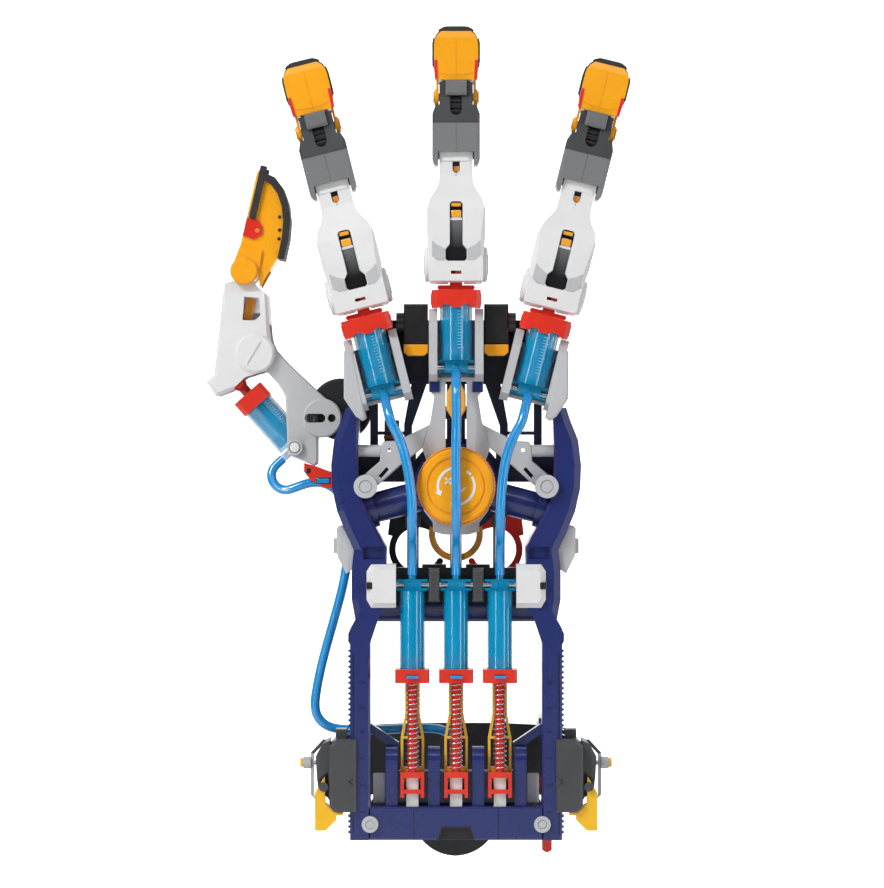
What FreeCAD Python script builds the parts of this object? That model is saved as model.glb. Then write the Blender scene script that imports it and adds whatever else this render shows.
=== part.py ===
"""Hydraulic hand exoskeleton kit: three fingers and a thumb, driven by water-filled cylinders.

Frame: +Z points from the wrist to the fingertips, -Y is the back of the hand, +X is to the right
seen from the back. The design plane y = 0 holds the knuckle axles; everything is shifted by
FOREARM_DEPTH at export, so that the origin lies on the axis of the wearer's forearm.
All lengths are millimetres and all angles are degrees.
"""

import FreeCAD
import Part

import math
import os

V = FreeCAD.Vector
AXIS_X, AXIS_Y, AXIS_Z = V(1, 0, 0), V(0, 1, 0), V(0, 0, 1)

# ---- driving dimensions -------------------------------------------------------------------
FOREARM_DEPTH = 55.0            # forearm axis behind the design plane
SPLAY = 14.0                    # tilt of the outer fingers
KNUCKLES = {"index": (-48.5, 272.0, -SPLAY), "middle": (0.0, 285.5, 0.0), "ring": (48.5, 272.0, SPLAY)}
CURL = 60.0                     # knuckle travel
MID_PIVOT = 54.5                # knuckle axle to middle axle
TIP_PIVOT = 83.5                # knuckle axle to fingertip axle
CRANK = 9.0                     # knuckle axle to the cylinder axis
ROD_TRAVEL = 2 * CRANK * math.tan(math.radians(CURL / 2))
LUG_DROP = ROD_TRAVEL / 2       # rod pin below the knuckle axle at rest
CYLINDER_Y = -CRANK             # all finger cylinders lie in this plane
TUBE_R = 2.4                    # water tube, outside radius
PIN_R = 2.0                     # hinge pins
SPOUT_START = (-10.5, -50.6)    # (y, z) of a finger cylinder's water connection
SPOUT_END = (-16.1, -54.8)
SPOUT_DROP = math.degrees(math.atan2(4.2, 5.6))
FIT = 0.05                      # running clearance on a radius
GAP = 0.35                      # clearance between moving faces

FEED_X = {"index": -21.7, "middle": 0.0, "ring": 21.7}   # the three input cylinders
FEED_TRAVEL = 15.0
FEED_R, FEED_BORE = 6.25, 5.6
FEED_AXLE_Z = 126.2
RAIL_FRONT, RAIL_BACK = -14.0, 8.0
RAIL_IN, RAIL_OUT = 42.5, 52.5
TOOTH_PITCH, TOOTH_DEPTH = 2.65, 1.6
TEETH_LOW, TEETH_HIGH = 2.0, 95.0
BASE_TOP = 16.5
BAND_Y = 16.5                   # front face of the pull bands
BAND_T = 1.2
BAND_HALF = 3.0
ROLLER_Y = (-4.8, 12.9)          # the bands turn round two rows of rollers in the base
ROLLER_Z = 5.2

HUB_Z = 175.2
KNOB_R = 19.4
KNOB_BACK, KNOB_FRONT = -9.4, -20.4

THUMB_KNUCKLE = (-100.9, 241.5)
THUMB_TIP = (-106.5, 283.0)
THUMB_FOOT = (-81.0, 194.3)     # trunnion of the thumb cylinder
THUMB_LEAN = math.degrees(math.atan2(22.6, 25.5))        # cylinder axis, from +Z towards -X
THUMB_Y = 24.5                  # the thumb works behind the straight fingers
THUMB_TIP_LEAN = 12.9
LEVER_PIVOT = (46.0, 26.0, 50.0)
LEVER_ARM = 26.0
THUMB_FEED_TOP = 37.0

SLIDER_LOW, SLIDER_HIGH = 14.0, 50.0
LATCH_PIVOT = (-65.6, 26.5)     # (x, z) of the left release lever's pin


# ---- small solid makers -------------------------------------------------------------------
def box(x0, x1, y0, y1, z0, z1):
    return Part.makeBox(x1 - x0, y1 - y0, z1 - z0, V(x0, y0, z0))


def rod(start, end, radius):
    """Cylinder from one point to another."""
    start, end = V(*start), V(*end)
    return Part.makeCylinder(radius, (end - start).Length, start, end - start)


def ring(start, end, outer, inner):
    return rod(start, end, outer).cut(rod(start, end, inner))


def plate(outline, y0, y1):
    """Outline of (x, z) points, made thick along Y."""
    points = [V(x, y0, z) for x, z in outline]
    return Part.Face(Part.makePolygon(points + points[:1])).extrude(V(0, y1 - y0, 0))


def profile(outline, x0, x1):
    """Outline of (y, z) points, made thick along X."""
    points = [V(x0, y, z) for y, z in outline]
    return Part.Face(Part.makePolygon(points + points[:1])).extrude(V(x1 - x0, 0, 0))


def column(outline, z0, z1):
    """Outline of (x, y) points, made tall along Z."""
    points = [V(x, y, z0) for x, y in outline]
    return Part.Face(Part.makePolygon(points + points[:1])).extrude(V(0, 0, z1 - z0))


def both_sides(half):
    """Closed outline from its right half, listed from the bottom up."""
    return half + [(-x, z) for x, z in reversed(half)]


def mirrored(shape):
    return shape.mirror(V(0, 0, 0), AXIS_X)


def pair(shape):
    return [shape, mirrored(shape)]


def fuse(*shapes):
    joined = shapes[0].multiFuse(list(shapes[1:])) if len(shapes) > 1 else shapes[0]
    return joined.removeSplitter()


def cut(shape, *tools):
    return shape.cut(list(tools))


def slot_x(y, z, reach, angle, radius, half):
    """Slot along X: a hole that runs for reach in the Y-Z plane, at angle from +Y."""
    dy, dz = reach * math.cos(math.radians(angle)), reach * math.sin(math.radians(angle))
    ends = [rod((-half, y, z), (half, y, z), radius), rod((-half, y + dy, z + dz), (half, y + dy, z + dz), radius)]
    ny, nz = -dz / reach * radius, dy / reach * radius
    middle = profile([(y + ny, z + nz), (y + dy + ny, z + dz + nz), (y + dy - ny, z + dz - nz), (y - ny, z - nz)],
                     -half, half)
    return fuse(middle, *ends)


def chamfered(shape, size, wanted):
    """Chamfers the edges whose middle point passes the test."""
    edges = [e for e in shape.Edges if wanted(e.CenterOfMass)]
    return shape.makeChamfer(size, edges)


def placed(shapes, x, z, tilt):
    """Turns shapes about +Y by tilt and moves them to (x, z)."""
    moved = []
    for shape in shapes:
        copy = shape.copy()
        copy.rotate(V(0, 0, 0), AXIS_Y, tilt)
        copy.translate(V(x, 0, z))
        moved.append(copy)
    return moved


def deeper(shapes, y):
    """Moves shapes towards the palm."""
    return [shape.translated(V(0, y, 0)) for shape in shapes]


# ---- finger: all in the finger's own frame, knuckle axle on X through the origin ----------
def finger_proximal():
    front = both_sides([(12.6, -9.5), (13.5, -8.5), (13.5, 4), (14.5, 14), (14.5, 27), (12.9, 32.5), (10.2, 36.5),
                        (8.6, 40), (8.3, 44), (8.3, MID_PIVOT)])
    side = [(-13.2, -9.5), (-14.6, -8.5), (-15, 4), (-15, 14), (-13.4, 27), (-11.7, 32.5), (-10, 36.5), (-8.6, 40),
            (-7.5, 44), (-7.5, MID_PIVOT), (6, MID_PIVOT), (6, 44), (9.5, 32.5), (11.5, 14), (11.5, -4), (7, -9.5)]
    shell = plate(front, -20, 20).common(profile(side, -20, 20))
    section = [(14.5, 9.6), (12.4, 11.6), (-12.4, 11.6), (-14.5, 9.6), (-14.5, -12.6), (-12.1, -15.1), (12.1, -15.1),
               (14.5, -12.6)]
    shell = shell.common(column(section, -12, 60))
    knuckle = rod((-8.3, 0, MID_PIVOT), (8.3, 0, MID_PIVOT), 7.5)
    cheeks = pair(chamfered(rod((12, 0, 0), (15.7, 0, 0), 8.75), 0.9, lambda c: c.x > 15))
    lip = plate(both_sides([(12.2, -8.8), (13.2, -7.8), (13.2, 4.5), (9.2, 1.2)]), -15.8, -14)
    shell = fuse(shell, knuckle, lip, *cheeks)
    cavity = [
        box(-5.6, 5.6, -12.6, 5, 8, 26),
        box(-5.6, 5.6, -9.8, 5, 25, 34),
        box(-3.8, 3.8, -12.6, 4.4, -10, 9),
        box(-3.8, 3.8, 4, 13, -10, 4.6),
        box(-10, 10, -5.6, 3, -10, -5.2),
    ]
    window = plate(both_sides([(4.2, 1), (5.3, 2.2), (5.3, 6.8), (3.2, 9.4), (3.2, 29.5), (2.2, 30.7)]), -20, -9.5)
    notch = fuse(box(-1.8, 1.8, -9, -4.4, 47, 51), rod((0, -9, 47), (0, -4.4, 47), 1.8))
    vent = box(-2.6, 2.6, -17, -11, -5.4, -3.8)
    pin_slot = slot_x(-9.0 * math.cos(math.radians(30)) + 0.15, -4.5 + 0.1, 1.6, 210, 1.25 + GAP, 6.6)
    axle = rod((-20, 0, 0), (20, 0, 0), PIN_R + FIT)
    mid_hole = rod((-20, 0, MID_PIVOT), (20, 0, MID_PIVOT), PIN_R + FIT)
    return [cut(shell, *cavity, window, notch, vent, pin_slot, axle, mid_hole)]


def finger_middle():
    front = both_sides([(10.6, 49), (11.8, 52), (11.8, 74.5), (10.2, 78.9), (8.3, 78.9), (8.3, TIP_PIVOT + 7.5)])
    side = [(-8, 49), (-10.5, 55), (-10.5, 70.5), (-8.2, TIP_PIVOT), (7, TIP_PIVOT), (8.5, 71), (8.5, 54), (5, 49)]
    shell = plate(front, -20, 20).common(profile(side, -20, 20))
    shell = chamfered(shell, 1.4, lambda c: abs(c.x) > 10.4 and 55 < c.z < 76 and (c.y < -9.5 or c.y > 8))
    head = rod((-8.3, 0, TIP_PIVOT), (8.3, 0, TIP_PIVOT), 7.4)
    brow = box(-8.3, 8.3, -8, 0, TIP_PIVOT - 1, TIP_PIVOT + 7)
    saddle = chamfered(box(-5.25, 5.25, -11, -6, 83.6, 91.2), 1.3, lambda c: c.y < -9)
    shell = fuse(shell, head, brow, saddle)
    fork = [
        box(-8.9, 8.9, -20, 20, 40, MID_PIVOT + 1.1),
        rod((-8.9, 0, MID_PIVOT), (8.9, 0, MID_PIVOT), 7.5 + GAP),
        box(-8.9, 8.9, 0, 20, 50, MID_PIVOT + 6),
        box(-5.8, 5.8, -6.5, 20, 65, 76),
    ]
    slot = fuse(box(-3, 3, -20, -5.4, 76.7, 84), rod((0, -20, 76.7), (0, -5.4, 76.7), 3))
    slot = slot.cut(box(-6, 6, -20, -5, 83.6, 92))
    holes = [rod((-20, 0, z), (20, 0, z), r) for z, r in ((MID_PIVOT, PIN_R), (TIP_PIVOT, PIN_R + FIT))]
    pin = rod((-11.5, 0, MID_PIVOT), (11.5, 0, MID_PIVOT), PIN_R)
    return [cut(shell, *fork, slot, *holes), pin]


TIP_CORE = [(-7.5, 8), (-7.5, 29), (-6.5, 32.2), (-4, 33.4), (0, 32.9), (4, 30), (7, 24.5), (8.2, 17), (7.5, 8)]
TIP_SKIN = [(-6.5, 34.4), (-4, 35), (1, 34.5), (6.1, 31), (9.5, 25), (10.8, 17), (10.1, 7.5)]


def finger_tip():
    core_front = both_sides([(9, 8), (9.2, 13), (11, 18.5), (11, 25.5), (10.6, 28), (9.4, 30.4), (7.4, 32.2), (5, 33.1),
                             (3, 33.5)])
    core = plate(core_front, -20, 20).common(profile(TIP_CORE, -20, 20))
    ears = []
    for side in (1, -1):
        x0, x1 = sorted((side * 8.65, side * 9.9))
        cap0, cap1 = sorted((side * 8.65, side * 10.8))
        ears.append(fuse(box(x0, x1, -4, 4, 0, 9), rod((cap0, 0, 0), (cap1, 0, 0), 4)))
    tip = fuse(core, *ears)
    tip = cut(tip, box(-7, 7, -4.5, 5, 7, 20), rod((-9.9, 0, 0), (9.9, 0, 0), PIN_R))
    pin = rod((-9.9, 0, 0), (9.9, 0, 0), PIN_R)
    for shape in (tip, pin):
        shape.translate(V(0, 0, TIP_PIVOT))
    return [tip, pin]


def finger_pad():
    outer_front = both_sides([(9.6, 7), (9.8, 12.5), (11.9, 17), (11.9, 26), (11.4, 28.8), (10, 31.6), (7.8, 33.6),
                              (5.2, 34.8), (3, 35.2)])
    band = profile(TIP_SKIN + TIP_CORE[:1:-1], -20, 20).common(plate(outer_front, -20, 20))
    strips = [box(x, x + 0.9, -6.5, -3, 16, 31) for x in (-11.9, 11)]
    strips = [strip.common(plate(outer_front, -20, 20)) for strip in strips]
    pad = fuse(band, *strips)
    pad.translate(V(0, 0, TIP_PIVOT))
    return [pad]


def finger_rod():
    """Piston rod at rest: it moves up by ROD_TRAVEL."""
    y = CYLINDER_Y
    shaft = rod((0, y, -43), (0, y, -11), 2.6)
    head = chamfered(box(-9.3, 9.3, y - 2.5, y + 2.5, -13, -10.8), 0.7, lambda c: abs(c.x) > 9)
    tongue = fuse(box(-3, 3, y - 2.2, y + 2.2, -11, -LUG_DROP), rod((-3, y, -LUG_DROP), (3, y, -LUG_DROP), 2.2))
    pin = rod((-6.2, y, -LUG_DROP), (6.2, y, -LUG_DROP), 1.25)
    piston = cut(rod((0, y, -45), (0, y, -40), 6.65), rod((0, y, -43), (0, y, -39), 2.6))
    return [fuse(shaft, head, tongue, pin), piston]


def finger_cylinder():
    y = CYLINDER_Y
    barrel = ring((0, y, -46), (0, y, -20.5), 8.1, 6.7)
    end = rod((0, y, -48), (0, y, -46), 8.1)
    foot = box(-5.8, 5.8, y - 3.6, y + 3.6, -54.5, -48)
    flanges = [box(-9, 9, y - 3.2, y + 3.2, z, z + 1.3) for z in (-54.5, -49.3)]
    spout = rod((0, *SPOUT_START), (0, *SPOUT_END), 1.9)
    hole = rod((-20, y, -51.7), (20, y, -51.7), 1.65)
    return [cut(fuse(barrel, end, foot, *flanges, spout), hole)]


def finger_collar():
    y = CYLINDER_Y
    body = chamfered(box(-12.2, 12.2, y - 9.4, y + 8.2, -22, -13.4), 2.2, lambda c: abs(c.x) > 12 and abs(c.y - y) > 8)
    tabs = [box(s * 11.6 - 1, s * 11.6 + 1, y - 5, y + 5, -20.5, -15) for s in (1, -1)]
    mouth = rod((0, y, -22), (0, y, -20.5), 8.1)
    scallops = [rod((x, y - 12, -23.6), (x, y + 12, -23.6), 3.2) for x in (-5, 5)]
    return [cut(fuse(body, *tabs), mouth, rod((0, y, -24), (0, y, -10), 2.6 + FIT), *scallops)]


def finger_bracket():
    """Channel that holds a cylinder's trunnion and carries the knuckle axle on a tongue."""
    cheek = profile([(-12, -58.5), (-17, -55), (-17, -31), (-11, -22.5), (3, -22.5), (5.2, -27), (5.2, -58.5)],
                    9.3, 13.5)
    back = box(-13.5, 13.5, 0, 5.2, -56.5, -28)
    web = box(-13.5, 13.5, -4.8, 5.2, -56.5, -54.8)
    tongue = box(-3.2, 3.2, 0.2, 4.0, -30, 0)
    eye = rod((-3.2, 0, 0), (3.2, 0, 0), 4.0)
    hole = rod((-20, 0, 0), (20, 0, 0), PIN_R)
    trunnion = rod((-20, CYLINDER_Y, -51.7), (20, CYLINDER_Y, -51.7), 1.65)
    body = fuse(*pair(cheek), back, web, tongue, eye)
    return cut(body, hole, trunnion)


def knuckle_axle():
    return rod((-15.7, 0, 0), (15.7, 0, 0), PIN_R)


def trunnion_pin():
    return rod((-13.5, CYLINDER_Y, -51.7), (13.5, CYLINDER_Y, -51.7), 1.65)


# ---- input cylinders, plungers and finger loops -------------------------------------------
def feed_barrel(x):
    y = CYLINDER_Y
    barrel = ring((x, y, 84.6), (x, y, 121.6), FEED_R, FEED_BORE)
    end = rod((x, y, 121.6), (x, y, 123.4), FEED_R)
    foot = box(x - 4.3, x + 4.3, y - 3, y + 3, 123.4, 129)
    flanges = [box(x - 7.6, x + 7.6, y - 3, y + 3, z, z + 1.2) for z in (123.4, 127.8)]
    spout = rod((x, y, 129), (x, y, 131), 1.9)
    hole = rod((x - 20, y, FEED_AXLE_Z), (x + 20, y, FEED_AXLE_Z), 1.4)
    return cut(fuse(barrel, end, foot, *flanges, spout), hole)


def feed_collar(x):
    y = CYLINDER_Y
    body = chamfered(box(x - 8.5, x + 8.5, y - 7.4, y + 6.4, 77.8, 84.6), 1.2,
                     lambda c: abs(c.x - x) > 8.2 and abs(c.y - y) > 6)
    slit = box(x - 3.1, x + 3.1, y - 8, y - 4, 80.4, 82)
    seat = rod((x, y, 83.2), (x, y, 84.6), FEED_R)
    barrel_end = rod((x, y, 83.2), (x, y, 84.6), FEED_R).cut(rod((x, y, 83), (x, y, 85), FEED_BORE))
    return cut(body, slit, seat, rod((x, y, 77), (x, y, 85), 2.6)), barrel_end


def feed_plunger(x):
    """Cross-ribbed red plunger with its clevis, the piston, and the strap hooked in the clevis."""
    y = CYLINDER_Y
    ribs = fuse(box(x - 2.3, x + 2.3, y - 0.7, y + 0.7, 33, 88), box(x - 0.7, x + 0.7, y - 2.3, y + 2.3, 33, 88))
    webs = [rod((x, y, 38 + 5.5 * i), (x, y, 38.8 + 5.5 * i), 2.3) for i in range(8)]
    top = box(x - 5.85, x + 5.85, y - 3.5, y + 3.3, 30.6, 33.4)
    legs = [box(x + s * 5 - 0.85, x + s * 5 + 0.85, y - 3.5, y + 3.3, 20.8, 31) for s in (1, -1)]
    bar = box(x - 5, x + 5, y - 3.5, y - 1.2, 22.8, 24.8)
    piston = cut(rod((x, y, 85), (x, y, 90.5), FEED_BORE - FIT),
                 box(x - 2.3, x + 2.3, y - 0.7, y + 0.7, 80, 88), box(x - 0.7, x + 0.7, y - 2.3, y + 2.3, 80, 88))
    strap = box(x - BAND_HALF, x + BAND_HALF, y - 0.6, y + 0.6, 1, 30.6)
    return [fuse(ribs, *webs, top, *legs, bar), piston, strap]


def spring(x, y, z0, z1, turns, radius, wire):
    """Compression spring as one swept helix."""
    height = z1 - z0 - 2 * wire
    helix = Part.makeHelix(height / turns, height, radius)
    circle = Part.Wire(Part.makeCircle(wire, V(radius, 0, 0), V(0, 1, 0)))
    coil = Part.Wire(helix.Edges).makePipeShell([circle], True, True)
    coil.translate(V(x, y, z0 + wire))
    return coil


def spring_guide(x):
    """Yellow frame that keeps the spring from bowing, fixed behind it."""
    narrow, wide = 3.7, 5.85
    outer = both_sides([(wide, 34), (wide, 50), (narrow, 62), (narrow, 77.8)])
    inner = both_sides([(wide - 1.3, 35.5), (wide - 1.3, 49.2), (narrow - 1.3, 61.5), (narrow - 1.3, 76)])
    frame = plate(outer, -5.0, -3.2).cut(plate(inner, -6, 0))
    rung = box(-wide + 1, wide - 1, -5.0, -3.2, 49.4, 50.6)
    foot = box(-wide, wide, -5.0, -3.0, 28, 34.5)
    guide = fuse(frame, rung, foot)
    guide.translate(V(x, 0, 0))
    return guide


def loop_ring(x, y0, y1, z, inner, wall, gap_from, gap_to):
    """Finger loop, open between two angles when gap_to is above gap_from."""
    hoop = ring((x, y0, z), (x, y1, z), inner + wall, inner)
    if gap_to > gap_from:
        far = 40
        a, b = math.radians(gap_from), math.radians(gap_to)
        wedge = plate([(x, z), (x + far * math.cos(a), z + far * math.sin(a)),
                       (x + far * math.cos(b), z + far * math.sin(b))], y0 - 1, y1 + 1)
        hoop = hoop.cut(wedge)
        mid = inner + wall / 2
        ends = [rod((x + mid * math.cos(t), y0, z + mid * math.sin(t)), (x + mid * math.cos(t), y1, z + mid * math.sin(t)),
                    wall / 2) for t in (a, b)]
        hoop = fuse(hoop, *ends)
    return hoop


def pull_band(x):
    return box(x - BAND_HALF, x + BAND_HALF, BAND_Y, BAND_Y + BAND_T, 15.6, 166)


def finger_loop(name):
    """Pull band behind the frame with the loop that the wearer's finger goes through."""
    x = FEED_X[name]
    band = pull_band(x)
    back = BAND_Y + BAND_T
    if name == "middle":
        hoop = loop_ring(0, 18.4, 24.4, 150.5, 10.4, 3.3, 0, 0)
        neck = box(-5, 5, back, 24.4, 161.5, 168)
        return [band, cut(fuse(hoop, neck), rod((0, 10, 150.5), (0, 40, 150.5), 10.4))]
    side = -1 if x < 0 else 1
    centre = side * 19.4
    gap = (-28, 62) if side < 0 else (118, 208)
    hoop = loop_ring(centre, 27, 33, 142.5, 11.2, 3.3, *gap)
    block = plate([(side * 15, 153), (side * 15, 161), (side * 33, 162), (side * 34.5, 150), (side * 31, 149)], 26, 33)
    bridge = box(x - 4, x + 4, back, 27, 154, 161)
    clear = rod((centre, 10, 142.5), (centre, 40, 142.5), 11.2)
    return [band, cut(fuse(hoop, block, bridge), clear)]


# ---- structure ----------------------------------------------------------------------------
def rack_outline():
    """Toothed strip on the outer edge of the left rail."""
    points = [(-RAIL_OUT + 1, TEETH_HIGH + 2), (-RAIL_OUT + 1, 0), (-RAIL_OUT, 0)]
    count = int((TEETH_HIGH - TEETH_LOW) / TOOTH_PITCH)
    for i in range(count):
        z = TEETH_LOW + i * TOOTH_PITCH
        points += [(-RAIL_OUT, z), (-RAIL_OUT - TOOTH_DEPTH, z + TOOTH_PITCH * 0.35), (-RAIL_OUT, z + TOOTH_PITCH * 0.7)]
    return points + [(-RAIL_OUT, TEETH_HIGH + 2)]


def side_frame():
    """Left side of the frame: a bowed shield above, a slim toothed rail below."""
    shield = [(-54.6, 214), (-56.5, 208), (-60.5, 198), (-62, 185.5), (-61.5, 174), (-59, 162.5), (-54.5, 151.5),
              (-50.6, 143.5), (-51.8, 133), (-51.8, 119), (-50, 109), (-52.5, 104.5), (-52.5, 90),
              (-42.5, 90), (-42.5, 97.5), (-38.4, 109.8), (-34.8, 116), (-34.5, 144.5), (-37.6, 150.7), (-41, 157),
              (-46.5, 167.5), (-48.2, 178.5), (-48.5, 194.5), (-48, 208), (-49, 214)]
    upper = plate(shield, RAIL_FRONT, RAIL_BACK + 4)
    upper = chamfered(upper, 3.4, lambda c: c.y < RAIL_FRONT + 0.1 and c.x < -50 and 110 < c.z < 212)
    upper = chamfered(upper, 1.2, lambda c: c.y < RAIL_FRONT + 0.1 and -49 < c.x < -36 and 152 < c.z < 200)
    rail = box(-RAIL_OUT, -RAIL_IN, RAIL_FRONT, RAIL_BACK, 0, 91)
    rail = chamfered(rail, 0.9, lambda c: c.y < RAIL_FRONT + 0.1 and 10 < c.z < 80)
    rack = plate(rack_outline(), -5, 3)
    cap = plate([(-52.5, 96), (-53.6, 98), (-53.6, 102), (-51.4, 106), (-50.5, 100)], -8, 5)
    groove = box(-51.2, -50.6, RAIL_FRONT - 1, RAIL_FRONT + 0.8, 3, 92)
    step = box(-46, -36, RAIL_FRONT - 1, RAIL_FRONT + 3, 139, 145.2)
    return cut(fuse(upper, rail, rack, cap), groove, step)


def end_block():
    """Pale block that closes the left end of the input axle."""
    outline = [(-29.8, 115), (-42, 115), (-44.3, 119), (-44.3, 133), (-42, 136.5), (-29.8, 136.5)]
    body = chamfered(plate(outline, -17.5, -2), 2.6, lambda c: c.y < -17 and c.x < -30)
    notch = rod((-44.5, -12, 126), (-41.5, -12, 126), 2)
    return cut(body, notch)


def crossbar():
    bar = rod((-40, 7, 115), (40, 7, 115), 8)
    backing = box(-29.8, 29.8, -2, 2, 117, 134.4)
    humps = [box(x - 6, x + 6, -1, 3, 134, 136) for x in (-10.9, 10.9)]
    guides = []
    for x in FEED_X.values():
        guides.append(box(x - 5, x + 5, 12, 20, 109, 121).cut(
            box(x - BAND_HALF - GAP, x + BAND_HALF + GAP, BAND_Y - GAP, BAND_Y + BAND_T + GAP, 100, 130)))
    return cut(fuse(bar, backing, *humps, *guides), *[
        box(x - BAND_HALF - GAP, x + BAND_HALF + GAP, BAND_Y - GAP, BAND_Y + BAND_T + GAP, 100, 130)
        for x in FEED_X.values()])


def spacers():
    return [chamfered(box(x - 2.6, x + 2.6, -13.5, -2, 118, 134.4), 0.8, lambda c: c.y < -13)
            for x in (-10.9, 10.9)]


def wrist_base():
    """Lower bar, the block with its four posts, and the housing that the bands turn in."""
    bar = box(-RAIL_IN, RAIL_IN, RAIL_FRONT, 20.5, 0, BASE_TOP)
    bar = chamfered(bar, 1.0, lambda c: c.y < RAIL_FRONT + 0.1 and abs(c.x) < 1)
    recess = plate(both_sides([(9.5, -1), (9.5, 0), (7.2, 6.5)]), RAIL_FRONT - 1, RAIL_FRONT + 2.4)
    grooves = [box(x - 0.4, x + 0.4, RAIL_FRONT - 1, RAIL_FRONT + 0.7, -1, BASE_TOP + 1) for x in (-21, 21)]
    block = box(-35.2, 35.2, -3, RAIL_BACK, BASE_TOP, 33)
    posts = []
    for x in (-32, -11, 11, 32):
        post = fuse(box(x - 2.9, x + 2.9, -9.5, 7, BASE_TOP, 39), rod((x - 2.9, -3, 39), (x + 2.9, -3, 39), 6.5))
        posts.append(post)
    struts = pair(plate([(-42.5, 56.5), (-28.5, 47), (-28.5, 33), (-35.2, 33), (-35.2, 46.4), (-42.5, 51.5)], 0, 6))
    wells = [box(x - 3.4, x + 3.4, -11.4, -6.6, -1, BASE_TOP + 0.1) for x in FEED_X.values()]
    rear = [box(x - 3.4, x + 3.4, BAND_Y - GAP, BAND_Y + BAND_T + GAP, -1, BASE_TOP + 1) for x in FEED_X.values()]
    hollow = [box(x - 6.5, x + 6.5, -10.5, BAND_Y + BAND_T + GAP, -1, 10) for x in FEED_X.values()]
    return cut(fuse(bar, block, *posts, *struts), recess, *grooves, *wells, *rear, *hollow, *roller_axles())


def roller_axles():
    return [rod((-38, y, ROLLER_Z), (38, y, ROLLER_Z), 1.4) for y in ROLLER_Y]


def rollers():
    return [ring((x - 6, y, ROLLER_Z), (x + 6, y, ROLLER_Z), 3.1, 1.4 + FIT) for x in FEED_X.values() for y in ROLLER_Y]


def hub():
    disc = rod((0, -5, HUB_Z), (0, 5.8, HUB_Z), 21)
    disc = chamfered(disc, 2, lambda c: c.y < -4)
    arms = []
    for side in (1, -1):
        root, tip = (side * 14, 0, HUB_Z - 4), (side * 52, 0, HUB_Z - 14)
        arms.append(rod(root, tip, 7.6))
        arms.append(rod((side * 40, 0, HUB_Z - 10.8), (side * 45, 0, HUB_Z - 12.1), 9.6))
    return cut(fuse(disc, *arms), rod((0, -30, HUB_Z), (0, 30, HUB_Z), 4 + FIT))


def palm_frame():
    """Dark truss behind the hand that ties the finger brackets to the hub."""
    y0, y1 = 6, 12
    top = box(-33, 33, y0, y1, 226, 258)
    half = [
        plate([(14, 228), (22, 228), (26, 206), (26, 180), (22, 180), (22, 205)], y0, y1),
        box(39, 43, y0, y1, 180, 240),
        plate([(30, 230), (43, 230), (43, 240), (33, 258), (30, 258)], y0, y1),
        rod((24, 9, 201.5), (41, 9, 201.5), 0.9),
        box(20, 49.5, y0 - 1, y1, 177, 192),
    ]
    plate_back = rod((0, y0, HUB_Z), (0, y1, HUB_Z), 24)
    stem = box(-4.6, 4.6, y0, y1, 196, 230)
    return cut(fuse(top, plate_back, stem, *half, *[mirrored(h) for h in half]),
               rod((0, 0, HUB_Z), (0, 30, HUB_Z), 4 + FIT), box(-12, 12, y0 - 1, y1 + 1, 236, 250))


def centre_bracket():
    outline = both_sides([(6, 151), (11.5, 152.5), (11.5, 157), (16, 163), (18, HUB_Z), (14, 186), (16.8, 193.5),
                          (12.7, 208), (10.9, 219.5), (13.5, 223), (13.5, 229)])
    slotted = plate(outline, -9, -5.2).cut(box(-5.2, 5.2, -10, -4, 192, 227))
    slotted = cut(slotted, rod((0, -30, HUB_Z), (0, 30, HUB_Z), 4 + FIT))
    channel = placed([finger_bracket()], *KNUCKLES["middle"])[0]
    return fuse(slotted, channel)


def index_shield():
    """Long outer cheek beside the index cylinder, down to the side frame."""
    outline = [(-55.5, 242), (-51, 242), (-44.5, 209), (-46.5, 207.5), (-49.5, 209.5), (-55.5, 218.5)]
    return chamfered(plate(outline, -17.5, 6), 1.0, lambda c: c.y < -17)


def side_link():
    outline = [(-13, 205.8), (-16.5, 194.2), (-22.6, 189.2), (-27, 186), (-38.7, 175.5), (-44.8, 170.5), (-49, 174),
               (-46, 180.5), (-37.8, 187.5), (-37.5, 195), (-36, 197.3), (-29.8, 197.6), (-25, 199.7)]
    body = chamfered(plate(outline, -9, -5.2), 0.6, lambda c: c.y < -8.9)
    window = plate([(-38.5, 180.2), (-37.2, 179), (-33.3, 183.4), (-34.6, 184.6)], -12, 0)
    return cut(body, window, rod((-33.2, -12, 193), (-33.2, 0, 193), 0.9))


def stay():
    """Round stay between the left side frame and its link."""
    return rod((-49.5, -6, 192.6), (-37.5, -6, 192.6), 3)


def button_caps():
    """Round grey caps: link pivots, lower bar screws and side buttons."""
    caps = []
    for x, z, radius, y0, y1 in ((44.8, 175, 5.8, -17.5, -9), (42.6, 8, 4.1, -16, -12)):
        cap = ring((x, y0, z), (x, y0 + 1.2, z), radius, radius * 0.55)
        cap = fuse(cap, rod((x, y0 + 1.2, z), (x, y1, z), radius), rod((x, y0 + 0.4, z), (x, y0 + 1.2, z), radius * 0.5))
        caps += pair(cap)
    return caps


def side_wing():
    outline = [(-59.5, 155), (-57, 155.5), (-54.7, 152), (-50.8, 143.4), (-51.9, 133.5), (-54.6, 131.5), (-59.3, 141)]
    wing = chamfered(plate(outline, -8, 6), 1.0, lambda c: c.x < -58)
    return fuse(wing, box(-61, -59, -4, 2, 141.5, 149))


def lock_block():
    return chamfered(box(-26, -14, -9, 5.8, 245.4, 265.5), 1.0, lambda c: c.y < -8)


def lock_cap():
    return plate([(-26, 245.4), (-14, 245.4), (-14, 241.5), (-16, 239.8), (-24, 239.8), (-26, 241.5)], -9.4, 5.4)


def lock_knob():
    return rod((-29.8, -2, 256), (-26, -2, 256), 5.4)


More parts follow.
